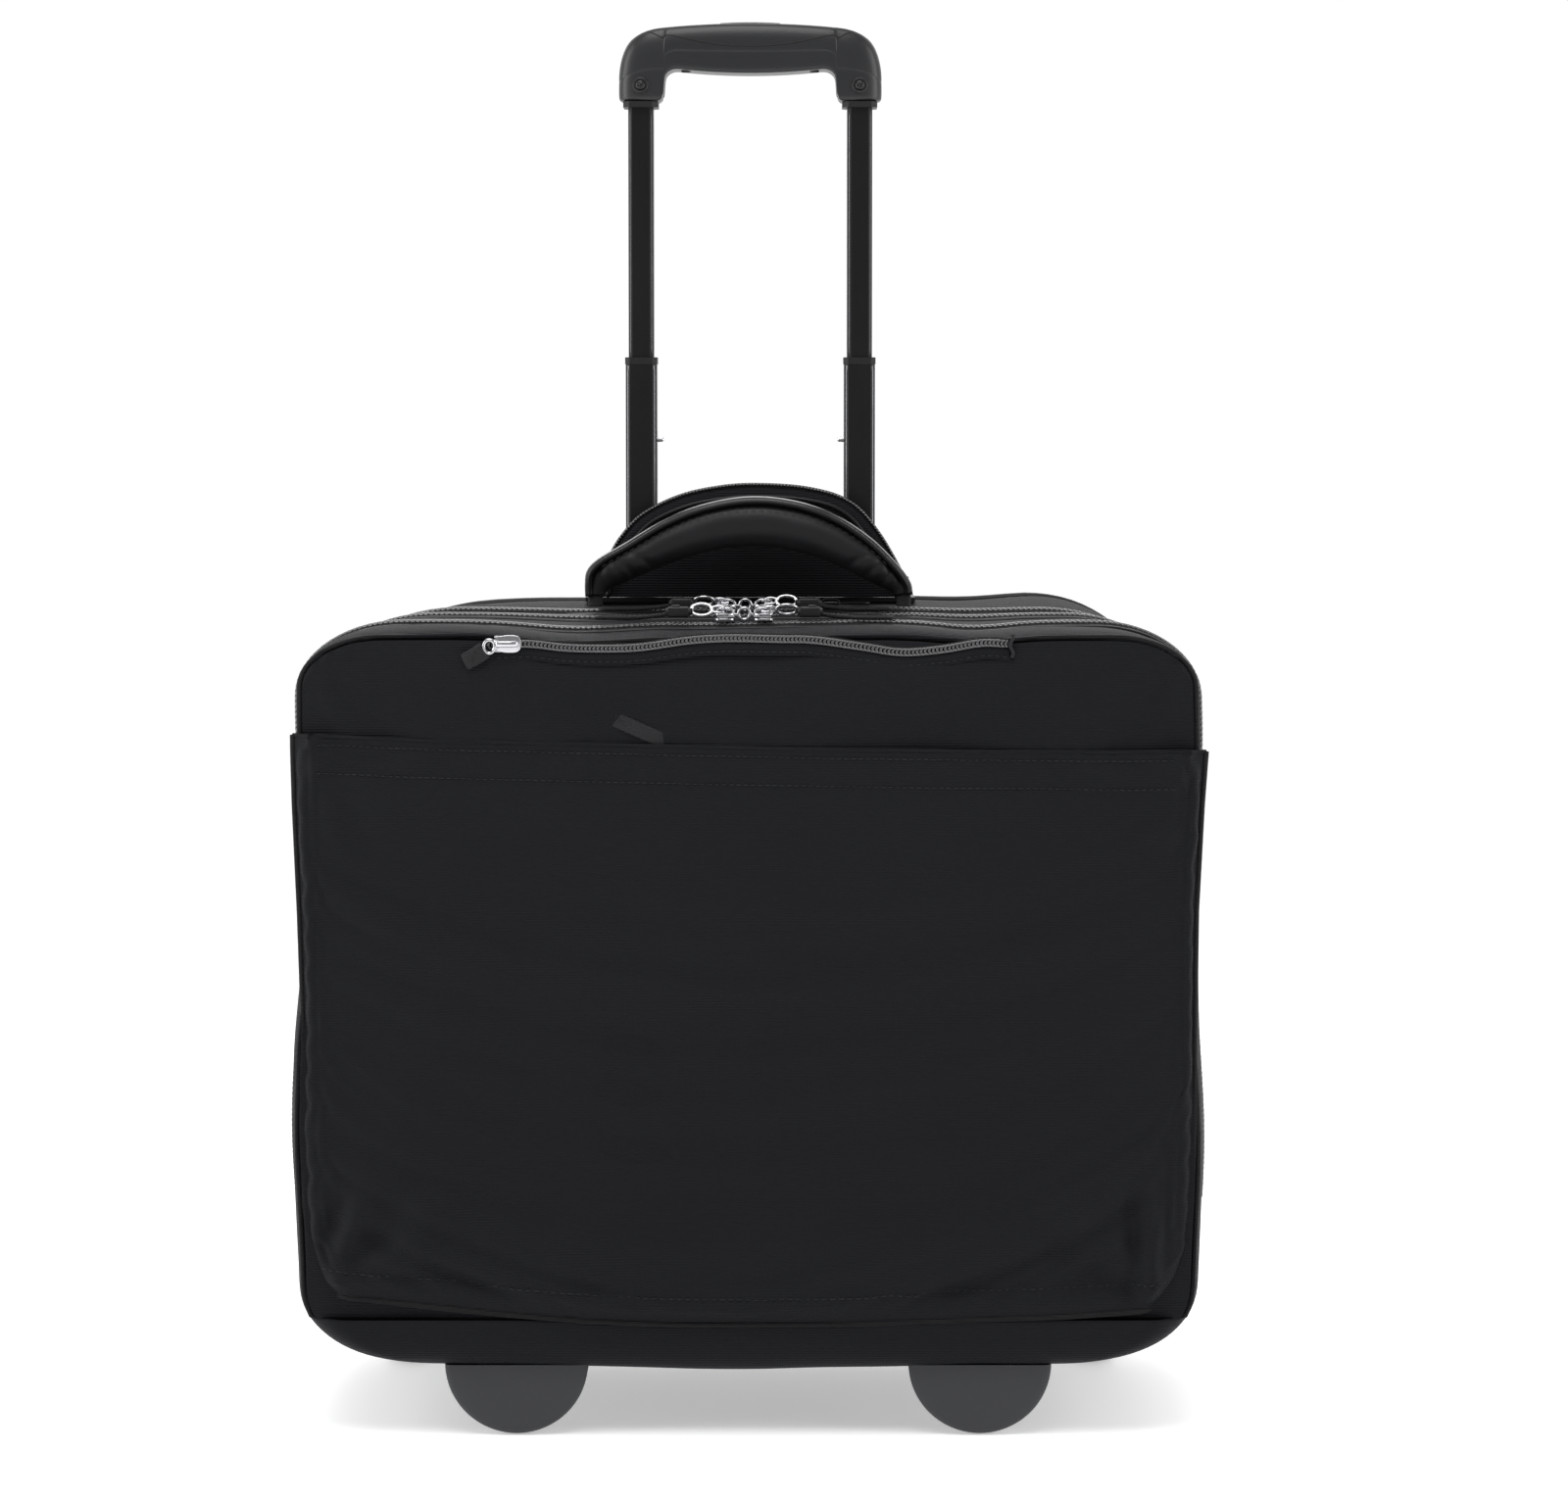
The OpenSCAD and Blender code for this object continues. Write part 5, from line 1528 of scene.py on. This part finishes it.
# soft creases: pulled at the ends, with light noise over the pad
N_ = nzv(V, 0.035, 5.0) * 0.9 + nzv(V, 0.09, 9.0, (1, 1, 1)) * 0.45
fr = np.sign(V[:, 1] - HY)
ex = sm((np.abs(V[:, 0]) - 40) / 30)
crs = sum(a_ * np.exp(-(((V[:, 0] - x0) * math.cos(an) + (V[:, 2] - z0) * math.sin(an)) / 1.6) ** 2) * np.exp(-(((V[:, 0] - x0) * -math.sin(an) + (V[:, 2] - z0) * math.cos(an)) / 7.0) ** 2)
          for x0, z0, an, a_ in ((-66, 408, 0.5, 1.3), (-60, 407, 0.75, 1.0), (-52, 411, 1.0, 0.7), (68, 404, -0.6, 1.3), (61, 407, -0.8, 1.0), (54, 412, -1.0, 0.8), (-73, 402, 0.25, 0.9), (73.5, 399, -0.3, 0.9)))
V[:, 1] += fr * (0.55 * N_ - crs)
V[:, 1] = np.clip(V[:, 1], HY - 8.3, HY + 8.3)
ob = add("handle_pad", V, F, HANDLE)
recalc(ob)
ob2 = ob
m = ob.modifiers.new("sub", "SUBSURF")
m.levels = m.render_levels = 1
apply_all(ob)
finish_piece(ob, "handle", "handle_leather", ("carry_handle",))
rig.padded(ob, 0.8)
# piping in the seams of the top edge, front and back
for nm, dy in (("front", -5.6), ("rear", 5.6)):
    P = np.stack([TA[:, 0], np.full(NH, HY + dy), TA[:, 1]], 1)
    inward = BA - TA
    inward /= np.linalg.norm(inward, axis=1)[:, None]
    P[:, 0] += inward[:, 0] * 1.6
    P[:, 2] += inward[:, 1] * 1.6
    e = sm(np.linspace(0, 1, NH) / 0.08) * sm((1 - np.linspace(0, 1, NH)) / 0.08)
    P[:, 1] = HY + dy * (0.55 + 0.45 * e)
    V, F = sweep(P, 1.25, 10, up=(0, 1, 0))
    ob = add("handle_piping_" + nm, V, F, PIPE)
    recalc(ob)
    finish_piece(ob, "handle", "handle_leather")
# the gusset's base colour is lighter than the handle's leather, a painted highlight on the top face; its lower
# roughness is real gloss
GUSSET_HIGHLIGHT = leather("gusset_skin", (0.012, 0.012, 0.0135), rough=0.26)
# gusset strip on top
R = []
for dy, dn in ((-5.4, 1.3), (-3.6, 0.35), (0, 0.0), (3.6, 0.35), (5.4, 1.3)):
    inward = BA - TA
    inward /= np.linalg.norm(inward, axis=1)[:, None]
    e = sm(np.linspace(0, 1, NH) / 0.08) * sm((1 - np.linspace(0, 1, NH)) / 0.08)
    R.append(np.stack([TA[:, 0] + inward[:, 0] * dn, HY + dy * (0.55 + 0.45 * e), TA[:, 1] + inward[:, 1] * dn], 1))
V, F = grid(np.stack(R))
ob = add("handle_gusset", V, F, GUSSET_HIGHLIGHT, solid=1.0)
recalc(ob)
finish_piece(ob, "handle", "handle_leather")
# stitch row under the piping
Pst = np.stack([BA[:, 0] + (TA - BA)[:, 0] * 0.80, np.full(NH, HY - 7.1), BA[:, 1] + (TA - BA)[:, 1] * 0.80], 1)[10:-10]
stitches("handle_stitch", Pst, (0, -1, 0.2), "handle", 2.6, 1.4, r=0.3)
# webbing straps at the ends and the pins' loops
for nm, s in (("left", -1), ("right", 1)):
    P = catmull(np.array([(s * 75.0, HY, 402), (s * 75.8, HY, 399), (s * 76.0, HY, 396), (s * 76.2, HY, 392), (s * 76.2, HY, 388.2)]), 6)
    V, F = sweep(P, 3.6, 12, rx=3.3, up=(1, 0, 0))
    ob = add("handle_strap_" + nm, V, F, WEB)
    recalc(ob)
    finish_piece(ob, "handle", "webbing")
# the fabric patches that the straps are sewn to, on the middle section
for nm, s in (("left", -1), ("right", 1)):
    nu, nv = 16, 10
    G = np.zeros((nu, nv, 3))
    for i in range(nu):
        for j in range(nv):
            G[i, j] = (s * 76.2 + (i / (nu - 1) - 0.5) * 30, HY + (j / (nv - 1) - 0.5) * 19, 384.2 + 0.3 * math.sin(math.pi * i / (nu - 1)))
    V, F = grid(G)
    ob = add("handle_patch_" + nm, V, F, TRIM, solid=1.1)
    recalc(ob)
    finish_piece(ob, "middle_section", "trim_fabric")

# ------------------------------------------------------------------ hood flap in front of the trolley
HP = np.array([(-76.5, 391.5), (-74.5, 400), (-69.5, 410.5), (-64.5, 419.5), (-55.5, 430.0), (-45, 436.6), (-31.8, 441.9), (-17.4, 445.0), (-2.8, 446.5), (16.6, 446.1), (31, 444.3), (44.3, 440.6), (54.4, 434), (64, 422), (71.2, 410), (76.2, 400), (78.6, 391.5)])
HC = arc(HP, 110)
cen = np.array([0, 391.5])


def hood_grid(n_in, y):
    g = np.zeros((110, n_in, 3))
    base = np.stack([HC[:, 0] * 0.985, np.full(110, 391.5)], 1)
    for j in range(n_in):
        t = j / (n_in - 1)
        q = base * (1 - t) + HC * t
        g[:, j, 0], g[:, j, 2] = q[:, 0], q[:, 1]
        g[:, j, 1] = y(q[:, 0], q[:, 1], t)
    return g


def pad(sgn):
    def y(x, z, t):
        r = 1 - t
        edge = 1 - (1 - np.clip(r / 0.14, 0, 1)) ** 2
        u = 1 - (np.abs(x) / 80) ** 4
        return 45.5 + sgn * (0.9 + 1.7 * edge * np.maximum(u, 0.1) + 0.35 * np.array([noise.noise(Vector((a * 0.04, sgn * 3.0, b * 0.04))) for a, b in zip(x, z)]) * edge)
    return y


Gf, Gb = hood_grid(26, pad(-1)), hood_grid(26, pad(1))
a = grid(Gf)
b = grid(Gb, flip=True)
V, F = join([a, b])
bm = bmesh.new()
vs = [bm.verts.new(tuple(p_)) for p_ in V]
for f in F:
    bm.faces.new([vs[i] for i in f])
bmesh.ops.remove_doubles(bm, verts=bm.verts, dist=0.3)
# stitch front to back round the rim
rimF, rimB = [bm.verts.new(tuple(p_)) for p_ in Gf[:, -1]], [bm.verts.new(tuple(p_)) for p_ in Gb[:, -1]]
for i in range(109):
    bm.faces.new([rimF[i], rimF[i + 1], rimB[i + 1], rimB[i]])
bmesh.ops.remove_doubles(bm, verts=bm.verts, dist=0.05)
bmesh.ops.recalc_face_normals(bm, faces=bm.faces)
bm.verts.index_update()
V = np.array([tuple(v_.co) for v_ in bm.verts])
F = [[v_.index for v_ in f_.verts] for f_ in bm.faces]
bm.free()
ob = add("hood_pad", V, F, FAB, sub=1)
finish_piece(ob, "hood", "shell_fabric", ("hood_flap",))
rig.padded(ob, 0.35)
# the piped seam inside its rim
inset = np.array([cen + (c - cen) * (1 - 5.0 / max(np.linalg.norm(c - cen), 1)) for c in HC])
P = np.stack([inset[:, 0], np.full(110, 42.9), inset[:, 1]], 1)
V, F = sweep(P, 1.2, 10, up=(0, 1, 0))
ob = add("hood_piping", V, F, PIPE)
recalc(ob)
finish_piece(ob, "hood", "trim_fabric")
inset2 = np.array([cen + (c - cen) * (1 - 8.6 / max(np.linalg.norm(c - cen), 1)) for c in HC])
stitches("hood_stitch", np.stack([inset2[:, 0], np.full(110, 42.7), inset2[:, 1]], 1)[3:-3], (0, -1, 0), "hood", 2.3, 1.3)
outd = np.stack([(HC - cen)[:, 0], np.zeros(110), (HC - cen)[:, 1]], 1)
outd /= np.linalg.norm(outd, axis=1)[:, None]
Pc = np.stack([HC[:, 0], np.full(110, 45.5), HC[:, 1]], 1) + outd * 1.3
coil("hood_coil", Pc, outd, 1, COIL, "hood", "zip_coil", pitch=1.7, L=1.9, r=0.75, replaces=("hood_zip",), gap=1.35, slant=0.5)
V, F = sweep(Pc - outd * 1.1, 0.8, 8, rx=1.9, up=(0, 1, 0))
ob = add("hood_edge_binding", V, F, TRIM)
recalc(ob)
finish_piece(ob, "hood", "trim_fabric")

# ------------------------------------------------------------------ trolley grip
def grip_half(x, k=1.0):
    """half depth of the grip at x"""
    return 12.9 * np.maximum(0.0, 1 - np.clip(np.abs(x) / 66.4, 0, 1) ** 6) ** (1 / 3.5)


def grip_loop():
    """outline of the grip in plan, seen from above (X, Y offsets from its centre)"""
    xs_ = [66.4 * math.cos(a) ** (1 / 3) for a in np.linspace(0, math.pi / 2 - 0.02, 26)]
    xs_ += list(np.arange(36.5, 46, 0.75)) + [43.2, 43.4, 43.5, 43.7] + list(np.arange(2.5, 36, 4.0))
    xs_ = sorted(set(round(float(v), 3) for v in xs_ if v > 1.0))
    keep = [xs_[0]]
    for v in xs_[1:]:
        if v - keep[-1] > 0.12:
            keep.append(v)
    keep[-1] = 66.4
    xs_ = np.array([-v for v in keep[::-1]] + [0.0] + keep)
    h = grip_half(xs_)
    h[0] = h[-1] = 0.0
    top_ = [(x, -v) for x, v in zip(xs_, h)]
    bot_ = [(x, v) for x, v in zip(xs_[::-1][1:-1], h[::-1][1:-1])]
    return np.array(top_ + bot_)


GL = grip_loop()
def topz(x):
    a = np.abs(x)
    return 679.2 - 2.7 * (a / 50) ** 2 - 14.5 * (1 - np.sqrt(np.maximum(0.0, 1 - np.clip((a - 46) / 20.8, 0, 1) ** 2)))


def botz(x):
    a = np.abs(x)
    q = 653.9 + 2.0 * np.clip(a / 36, 0, 1) ** 2
    f = 6.2 * (1 - np.sqrt(np.maximum(0.0, 1 - np.clip((a - 37.2) / 6.2, 0, 1) ** 2)))
    return np.where(a < 43.45, q - f, 640.0)


prof = [(0.0, 0.90), (0.012, 0.955), (0.05, 0.99), (0.12, 1.0), (0.42, 1.0), (0.425, 0.988), (0.435, 0.988), (0.44, 1.0), (0.62, 0.995), (0.76, 0.965), (0.86, 0.915), (0.93, 0.85), (0.975, 0.77), (1.0, 0.66)]
R = []
for t, k in prof:
    x = GL[:, 0] * (1 - (1 - k) * 0.30)
    y = 80 + GL[:, 1] * k
    z0, z1 = botz(x), topz(x)
    R.append(np.stack([x, y, z0 + (z1 - z0) * t], 1))
for k in (0.5, 0.3, 0.12):
    x = GL[:, 0] * (1 - (1 - 0.66) * 0.30) * (k / 0.66) ** 0.35
    y = 80 + GL[:, 1] * k
    R.append(np.stack([x, y, topz(x) + 0.25 * (0.66 - k)], 1))
V, F = grid(np.stack(R), close_v=True)
nn = len(GL)
F.append([(len(R) - 1) * nn + i for i in range(nn)])
bt = R[0].copy()
V2, F2 = [], []
under = [bt]
for k in (0.6, 0.3, 0.0):
    q = bt.copy()
    q[:, 1] = 80 + (bt[:, 1] - 80) * k
    under.append(q)
v2, f2 = grid(np.stack(under), close_v=True, flip=True)
V, F = join([(V, F), (v2, f2)])
bm = bmesh.new()
vs = [bm.verts.new(tuple(p_)) for p_ in V]
for f in F:
    try:
        bm.faces.new([vs[i] for i in f])
    except ValueError:
        pass
bmesh.ops.remove_doubles(bm, verts=bm.verts, dist=0.02)
bmesh.ops.recalc_face_normals(bm, faces=bm.faces)
bm.verts.index_update()
V = np.array([tuple(v_.co) for v_ in bm.verts])
F = [[v_.index for v_ in f_.verts] for f_ in bm.faces]
bm.free()
ob = add("grip_shell", V, F, GRIP, sub=1)
# room for the button
cutter(ob, (-16.3, 71.7, 670.4), (16.3, 88.3, 684))
for p_ in ob.data.polygons:
    p_.use_smooth = True
ob.data.set_sharp_from_angle(angle=math.radians(38))
finish_piece(ob, "trolley_inner", "plastic_grip", ("grip_body",))
# button: a bowed cap with a shallow thumb dish and a rim
nu, nv = 30, 16
G = np.zeros((nu, nv, 3))
for i in range(nu):
    for j in range(nv):
        u, v_ = i / (nu - 1) * 2 - 1, j / (nv - 1) * 2 - 1
        G[i, j] = (u * 15.2, 80 + v_ * 7.3, 679.6 - 0.5 * u * u - 0.35 * (1 - u * u) * (1 - v_ * v_) + 0.3 * math.exp(-((abs(v_) - 0.9) / 0.1) ** 2))
V, F = grid(G)
ob = add("button_cap", V, F, BUT, solid=2.4)
recalc(ob)
m = ob.modifiers.new("b", "BEVEL")
m.width = 0.6 * MM
m.segments = 3
m.limit_method = "ANGLE"
apply_all(ob)
finish_piece(ob, "button", "plastic_button")
for k, x in enumerate((-6, -3, 0, 3, 6)):
    pass
v, f = join([box_round((x - 0.45, 75.2, 679.2), (x + 0.45, 84.8, 679.85), 0.25, 2) for x in (-6, -3, 0, 3, 6)])
ob = add("button_ribs", v, f, BUT)
finish_piece(ob, "button", "plastic_button")
# parting line beads and the raised top panel's rim
for nm, sd in (("front", -1), ("rear", 1)):
    P = []
    for x in np.linspace(-51, 51, 60):
        t = 0.54 + 0.43 * (abs(x) / 51) ** 2.2
        k = float(np.interp(t, [q[0] for q in prof], [q[1] for q in prof]))
        xs_ = x
        yy = k * float(grip_half(np.array([x / (1 - (1 - k) * 0.3)]))[0])
        z0, z1 = float(botz(np.array([x]))[0]), float(topz(np.array([x]))[0])
        P.append((xs_, 80 + sd * (yy - 0.05), z0 + (z1 - z0) * t))
    V, F = sweep(np.array(P), 0.32, 6, up=(0, sd, 0))
    ob = add("grip_panel_line_" + nm, V, F, BLK)
    recalc(ob)
    finish_piece(ob, "trolley_inner", "plastic_grip")
# two screws on the front of the legs, cross recessed
def screw(c, r, axis="y"):
    prof_ = [(0.001, 0.0), (r * 0.5, -0.55), (r * 0.85, -0.35), (r, 0.25), (r, 1.2)]
    v, f = lathe(prof_, 24, "y")
    parts = [(v, f)]
    for rot in (0, math.pi / 2):
        b_ = box_round((-r * 0.62, -0.75, -r * 0.13), (r * 0.62, -0.38, r * 0.13), 0.08, 1)
        cs, sn = math.cos(rot + 0.4), math.sin(rot + 0.4)
        vv = b_[0] @ np.array([[cs, 0, -sn], [0, 1, 0], [sn, 0, cs]])
        parts.append((vv, b_[1]))
    v, f = join(parts)
    return v + np.array(c), f


V, F = join([screw((s * 55.15, 67.3, 648), 2.4) for s in (-1, 1)])
ob = add("grip_screw_heads", V, F, metal("screw_blackened", (0.035, 0.035, 0.037), rough=0.32, metallic=0.7))
recalc(ob)
finish_piece(ob, "trolley_inner", "steel", ("grip_screws",))
V, F = join([moved(lathe([(3.1, 0.2), (3.5, -0.25), (3.9, 0.2)], 28, "y"), (s * 55.15, 67.35, 648)) for s in (-1, 1)])
ob = add("grip_screw_rings", V, F, GRIP)
recalc(ob)
finish_piece(ob, "trolley_inner", "plastic_grip")
# the bosses under the bar
V, F = join([moved(lathe([(0.01, -0.6), (1.9, -0.6), (2.4, -0.1), (2.4, 1.6)], 24, "z"), (s * 32.3, 74.5, 655.2)) for s in (-1, 1)])
ob = add("grip_underside", V, F, BLK)
recalc(ob)
finish_piece(ob, "trolley_inner", "plastic_grip")

# ------------------------------------------------------------------ tubes: painted highlight strips along the front chamfers
for s in (-1, 1):
    for nm, w_, d_, z0, z1, body in (("inner", 12.6, 19, 512, 637, "trolley_inner"), ("middle", 15.6, 22.4, 391, 508, "trolley_middle")):
        x0 = s * 55.15
        for i, (dx, dy) in enumerate(((-1, -1), (1, -1))):
            P = np.array([(x0 + dx * (w_ / 2 - 1.38), 80 + dy * (d_ / 2 - 1.38), z) for z in np.linspace(z0, z1, 24)])
            V, F = sweep(P, 0.7, 6)
            ob = add(f"{nm}_edge_{'left' if s < 0 else 'right'}_{i}", V, F, TUBE_EDGE_HIGHLIGHT)
            recalc(ob)
            finish_piece(ob, body, "tube_black")

# ------------------------------------------------------------------ what is seen of the wheels, feet and base
def wheel_visual(s, name):
    cx = s * 176.0
    # tread with two grooves
    prof_ = [(24.5, -11), (28.6, -11), (30.4, -10.4), (31.5, -9.0), (31.92, -7.2), (31.92, -4.2), (31.3, -3.9), (31.3, -3.3), (31.92, -3.0), (31.92, 3.0), (31.3, 3.3), (31.3, 3.9), (31.92, 4.2), (31.92, 7.2), (31.5, 9.0), (30.4, 10.4), (28.6, 11), (24.5, 11)]
    v, f = lathe([(r, t) for r, t in prof_], 96, "x", (cx, 76, 32))
    ob = add("tyre_tread_" + name, v, f, TYRE)
    recalc(ob)
    finish_piece(ob, "wheel_" + name, "tyre_rubber", ("tyre_" + name,))
    parts = [lathe([(4.4, -11.4), (8.6, -11.4), (9.0, -10.9), (9.2, -6.5), (19.2, -5.2), (20.4, -10.6), (21.0, -11.1), (23.6, -11.1), (24.4, -10.4), (24.4, 10.4), (23.6, 11.1), (21, 11.1), (20.4, 10.6), (19.2, 5.2), (9.2, 6.5), (9.0, 10.9), (8.6, 11.4), (4.4, 11.4), (4.4, -11.4)], 72, "x", (cx, 76, 32))]
    for k in range(5):
        a_ = 2 * math.pi * k / 5 + 0.3
        b_ = box_round((-9.6, -1.1, 9.0), (9.6, 1.1, 20.2), 0.5, 2)
        vv = b_[0] @ np.array(rot_x(a_)).T
        parts.append((vv + np.array([cx, 76, 32]), b_[1]))
    v, f = join(parts)
    ob = add("hub_spokes_" + name, v, f, HUB)
    recalc(ob)
    ob.data.set_sharp_from_angle(angle=math.radians(35))
    finish_piece(ob, "wheel_" + name, "plastic_grey", ("hub_" + name,))


wheel_visual(-1, "left")
wheel_visual(1, "right")


# front feet: half discs with softened rims and a recessed face line
def foot(s):
    prof_ = [(0.01, -98.0), (24.0, -98.1), (29.5, -98.0), (32.0, -97.6), (33.4, -96.6), (33.95, -95.0), (33.95, -82.1), (33.4, -80.7), (32, -80.0), (0.01, -80.0)]
    n = 72
    th = np.linspace(math.radians(180 + 1), math.radians(360 - 1), n)
    P = np.zeros((n, len(prof_), 3))
    for i, a_ in enumerate(th):
        for j, (r, y) in enumerate(prof_):
            P[i, j] = (s * 110 + r * math.cos(a_), y, 34 + r * math.sin(a_))
    P[..., 2] = np.minimum(P[..., 2], 33.4)
    v, f = grid(P)
    return v, f


V, F = join([foot(-1), foot(1)])
ob = add("front_feet_moulded", V, F, FOOT)
recalc(ob)
ob.data.set_sharp_from_angle(angle=math.radians(40))
finish_piece(ob, "root", "plastic_grey", ("front_feet",))
# base tray's lip and ribs
parts = [box_round((-146, -68, 28.9), (146, 93, 31.7), 1.2, 2)]
for x in np.arange(-120, 121, 24):
    parts.append(box_round((x - 1.4, -66, 27.0), (x + 1.4, 76, 29.4), 0.6, 2))
parts.append(box_round((-125, -70, 27.5), (125, -67, 29.4), 0.6, 2))
parts.append(box_round((-125, 77, 27.5), (125, 80, 29.4), 0.6, 2))
V, F = join(parts)
ob = add("base_tray_moulded", V, F, BLK)
recalc(ob)
finish_piece(ob, "root", "plastic_black", ("base_tray",))

# ------------------------------------------------------------------ details of the back
# two upright runners on the back, the usual pieces of such a case
for nm, s in (("left", -1), ("right", 1)):
    P = []
    for z in np.linspace(70, 330, 30):
        P.append((s * 120, 101.0, z))
    V, F = sweep(np.array(P), 2.0, 10, rx=4.5, up=(0, 1, 0), taper=np.r_[0.2, 0.6, 0.9, np.ones(24), 0.9, 0.6, 0.2])
    ob = add("back_runner_" + nm, V, F, BLK)
    recalc(ob)
    finish_piece(ob, "root", "plastic_black")
# a path low across the back for a zipped lining access; no piece is made from it
P = D(np.stack([np.linspace(-150, 150, 120), np.full(120, 99.0), np.full(120, 112.0)], 1))

# bindings inside: the sections' free edges when they're opened
for nm, y, body, off in (("cover_inner_binding", -64.6, "cover", -3.4), ("front_inner_binding", -63.3, "front_section", -3.6), ("front_rear_binding", 1.4, "front_section", -3.6),
                         ("middle_inner_binding", 2.7, "middle_section", -3.6), ("middle_rear_binding", 33.4, "middle_section", -3.6), ("rear_inner_binding", 34.8, "root", -3.6)):
    P = D(ring(y, off, low=62))
    V, F = sweep(resample(P, 5), 1.2, 8, up=(0, 1, 0))
    ob = add(nm, V, F, TRIM)
    recalc(ob)
    finish_piece(ob, body, "trim_fabric")

# ------------------------------------------------------------------ materials on the CAD parts that stay in view
CADMAT = {
    "outer_tubes": TUBE, "middle_tubes": TUBE, "inner_tubes": TUBE, "middle_caps": BLK, "tube_collars": BLK,
    "lock_bodies": BLK, "lock_pin_left": SILVER, "lock_pin_right": SILVER, "release_button": BUT,
    "handle_well": BLK, "grip_body": GRIP, "wheel_housing_left": BLK, "wheel_housing_right": BLK, "axles": STEEL, "base_screws": STEEL,
    "tube_foot_bracket": STEEL, "back_board": BOARD,
}
for name, mat in CADMAT.items():
    node = bpy.data.objects.get(name)
    if node is None or node.type != "MESH":
        continue
    node.data.materials.clear()
    node.data.materials.append(mat)
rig.replaces(bpy.data.objects["button_cap"], "release_button")

# ------------------------------------------------------------------ cords, declared on the finished pieces
for ob, path, L, *rest in CORDS:
    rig.cord(ob, exit=path[0], length=L, diameter=0.002, far_end="object", stiffness="limp", lay="loose", path=path, with_pieces=tuple(rest))

# ------------------------------------------------------------------ light, floor, background

world = scene.world or bpy.data.worlds.new("world")
scene.world = world
world.use_nodes = True
wn = world.node_tree
for n in list(wn.nodes):
    wn.nodes.remove(n)
wo = wn.nodes.new("ShaderNodeOutputWorld")
bg = wn.nodes.new("ShaderNodeBackground")
bg.inputs["Color"].default_value = (1, 1, 1, 1)
wt = wn.nodes.new("ShaderNodeTexCoord")
wsep = wn.nodes.new("ShaderNodeSeparateXYZ")
wn.links.new(wt.outputs["Generated"], wsep.inputs[0])
wmr = wn.nodes.new("ShaderNodeMapRange")
wmr.interpolation_type = "SMOOTHSTEP"
wmr.inputs["From Min"].default_value = -0.35
wmr.inputs["From Max"].default_value = 0.55
wmr.inputs["To Min"].default_value = 0.30
wmr.inputs["To Max"].default_value = 1.02
wn.links.new(wsep.outputs[1], wmr.inputs["Value"])
wn.links.new(wmr.outputs["Result"], bg.inputs["Strength"])
wn.links.new(bg.outputs[0], wo.inputs[0])


def area(name, loc, target, size, power, size_y=None):
    d = bpy.data.lights.new(name, "AREA")
    d.shape = "RECTANGLE"
    d.size = size
    d.size_y = size_y or size
    d.energy = power
    o = bpy.data.objects.new(name, d)
    scene.collection.objects.link(o)
    o.location = loc
    o.rotation_euler = (Vector(target) - Vector(loc)).to_track_quat("-Z", "Y").to_euler()
    return o


LIGHTS = [
    area("key_top", (-0.15, -0.75, 1.9), (0, 0, 0.3), 1.1, 17),
    area("rim_left", (-1.5, -0.42, 0.75), (0, 0, 0.25), 0.7, 13, 1.4),
    area("rim_right", (1.5, -0.5, 0.75), (0, 0, 0.25), 0.7, 11, 1.4),
    area("back_top", (0.0, 1.5, 1.3), (0, 0, 0.4), 1.6, 8, 0.8),
]
scene.view_settings.view_transform = "Standard"

fm = bpy.data.materials.new("floor_white")
fm.use_nodes = True
nt, b_ = nodes_of(fm)
tc = nt.nodes.new("ShaderNodeTexCoord")
b_.inputs["Roughness"].default_value = 0.7
b_.inputs["Emission Color"].default_value = (1, 1, 1, 1)
b_.inputs["Emission Strength"].default_value = 0.4
b_.inputs["Specular IOR Level"].default_value = 0.3
nt.links.new(ramp_color(nt, tex_noise(nt, tc.outputs["Object"], 3), (0.93, 0.93, 0.935), (0.96, 0.96, 0.965)), b_.inputs["Base Color"])
me = bpy.data.meshes.new("floor")
me.from_pydata([(-8, -4, -0.0005), (8, -4, -0.0005), (8, 9, -0.0005), (-8, 9, -0.0005)], [], [(0, 1, 2, 3)])
me.materials.append(fm)
floor = bpy.data.objects.new("floor", me)
scene.collection.objects.link(floor)
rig.stage(floor)

VIS_BOX = [[float(v) for v in c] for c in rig.bounds()]
with open("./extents.json", "w") as fh:
    json.dump({"cad": CAD_BOX, "visual": VIS_BOX}, fh)
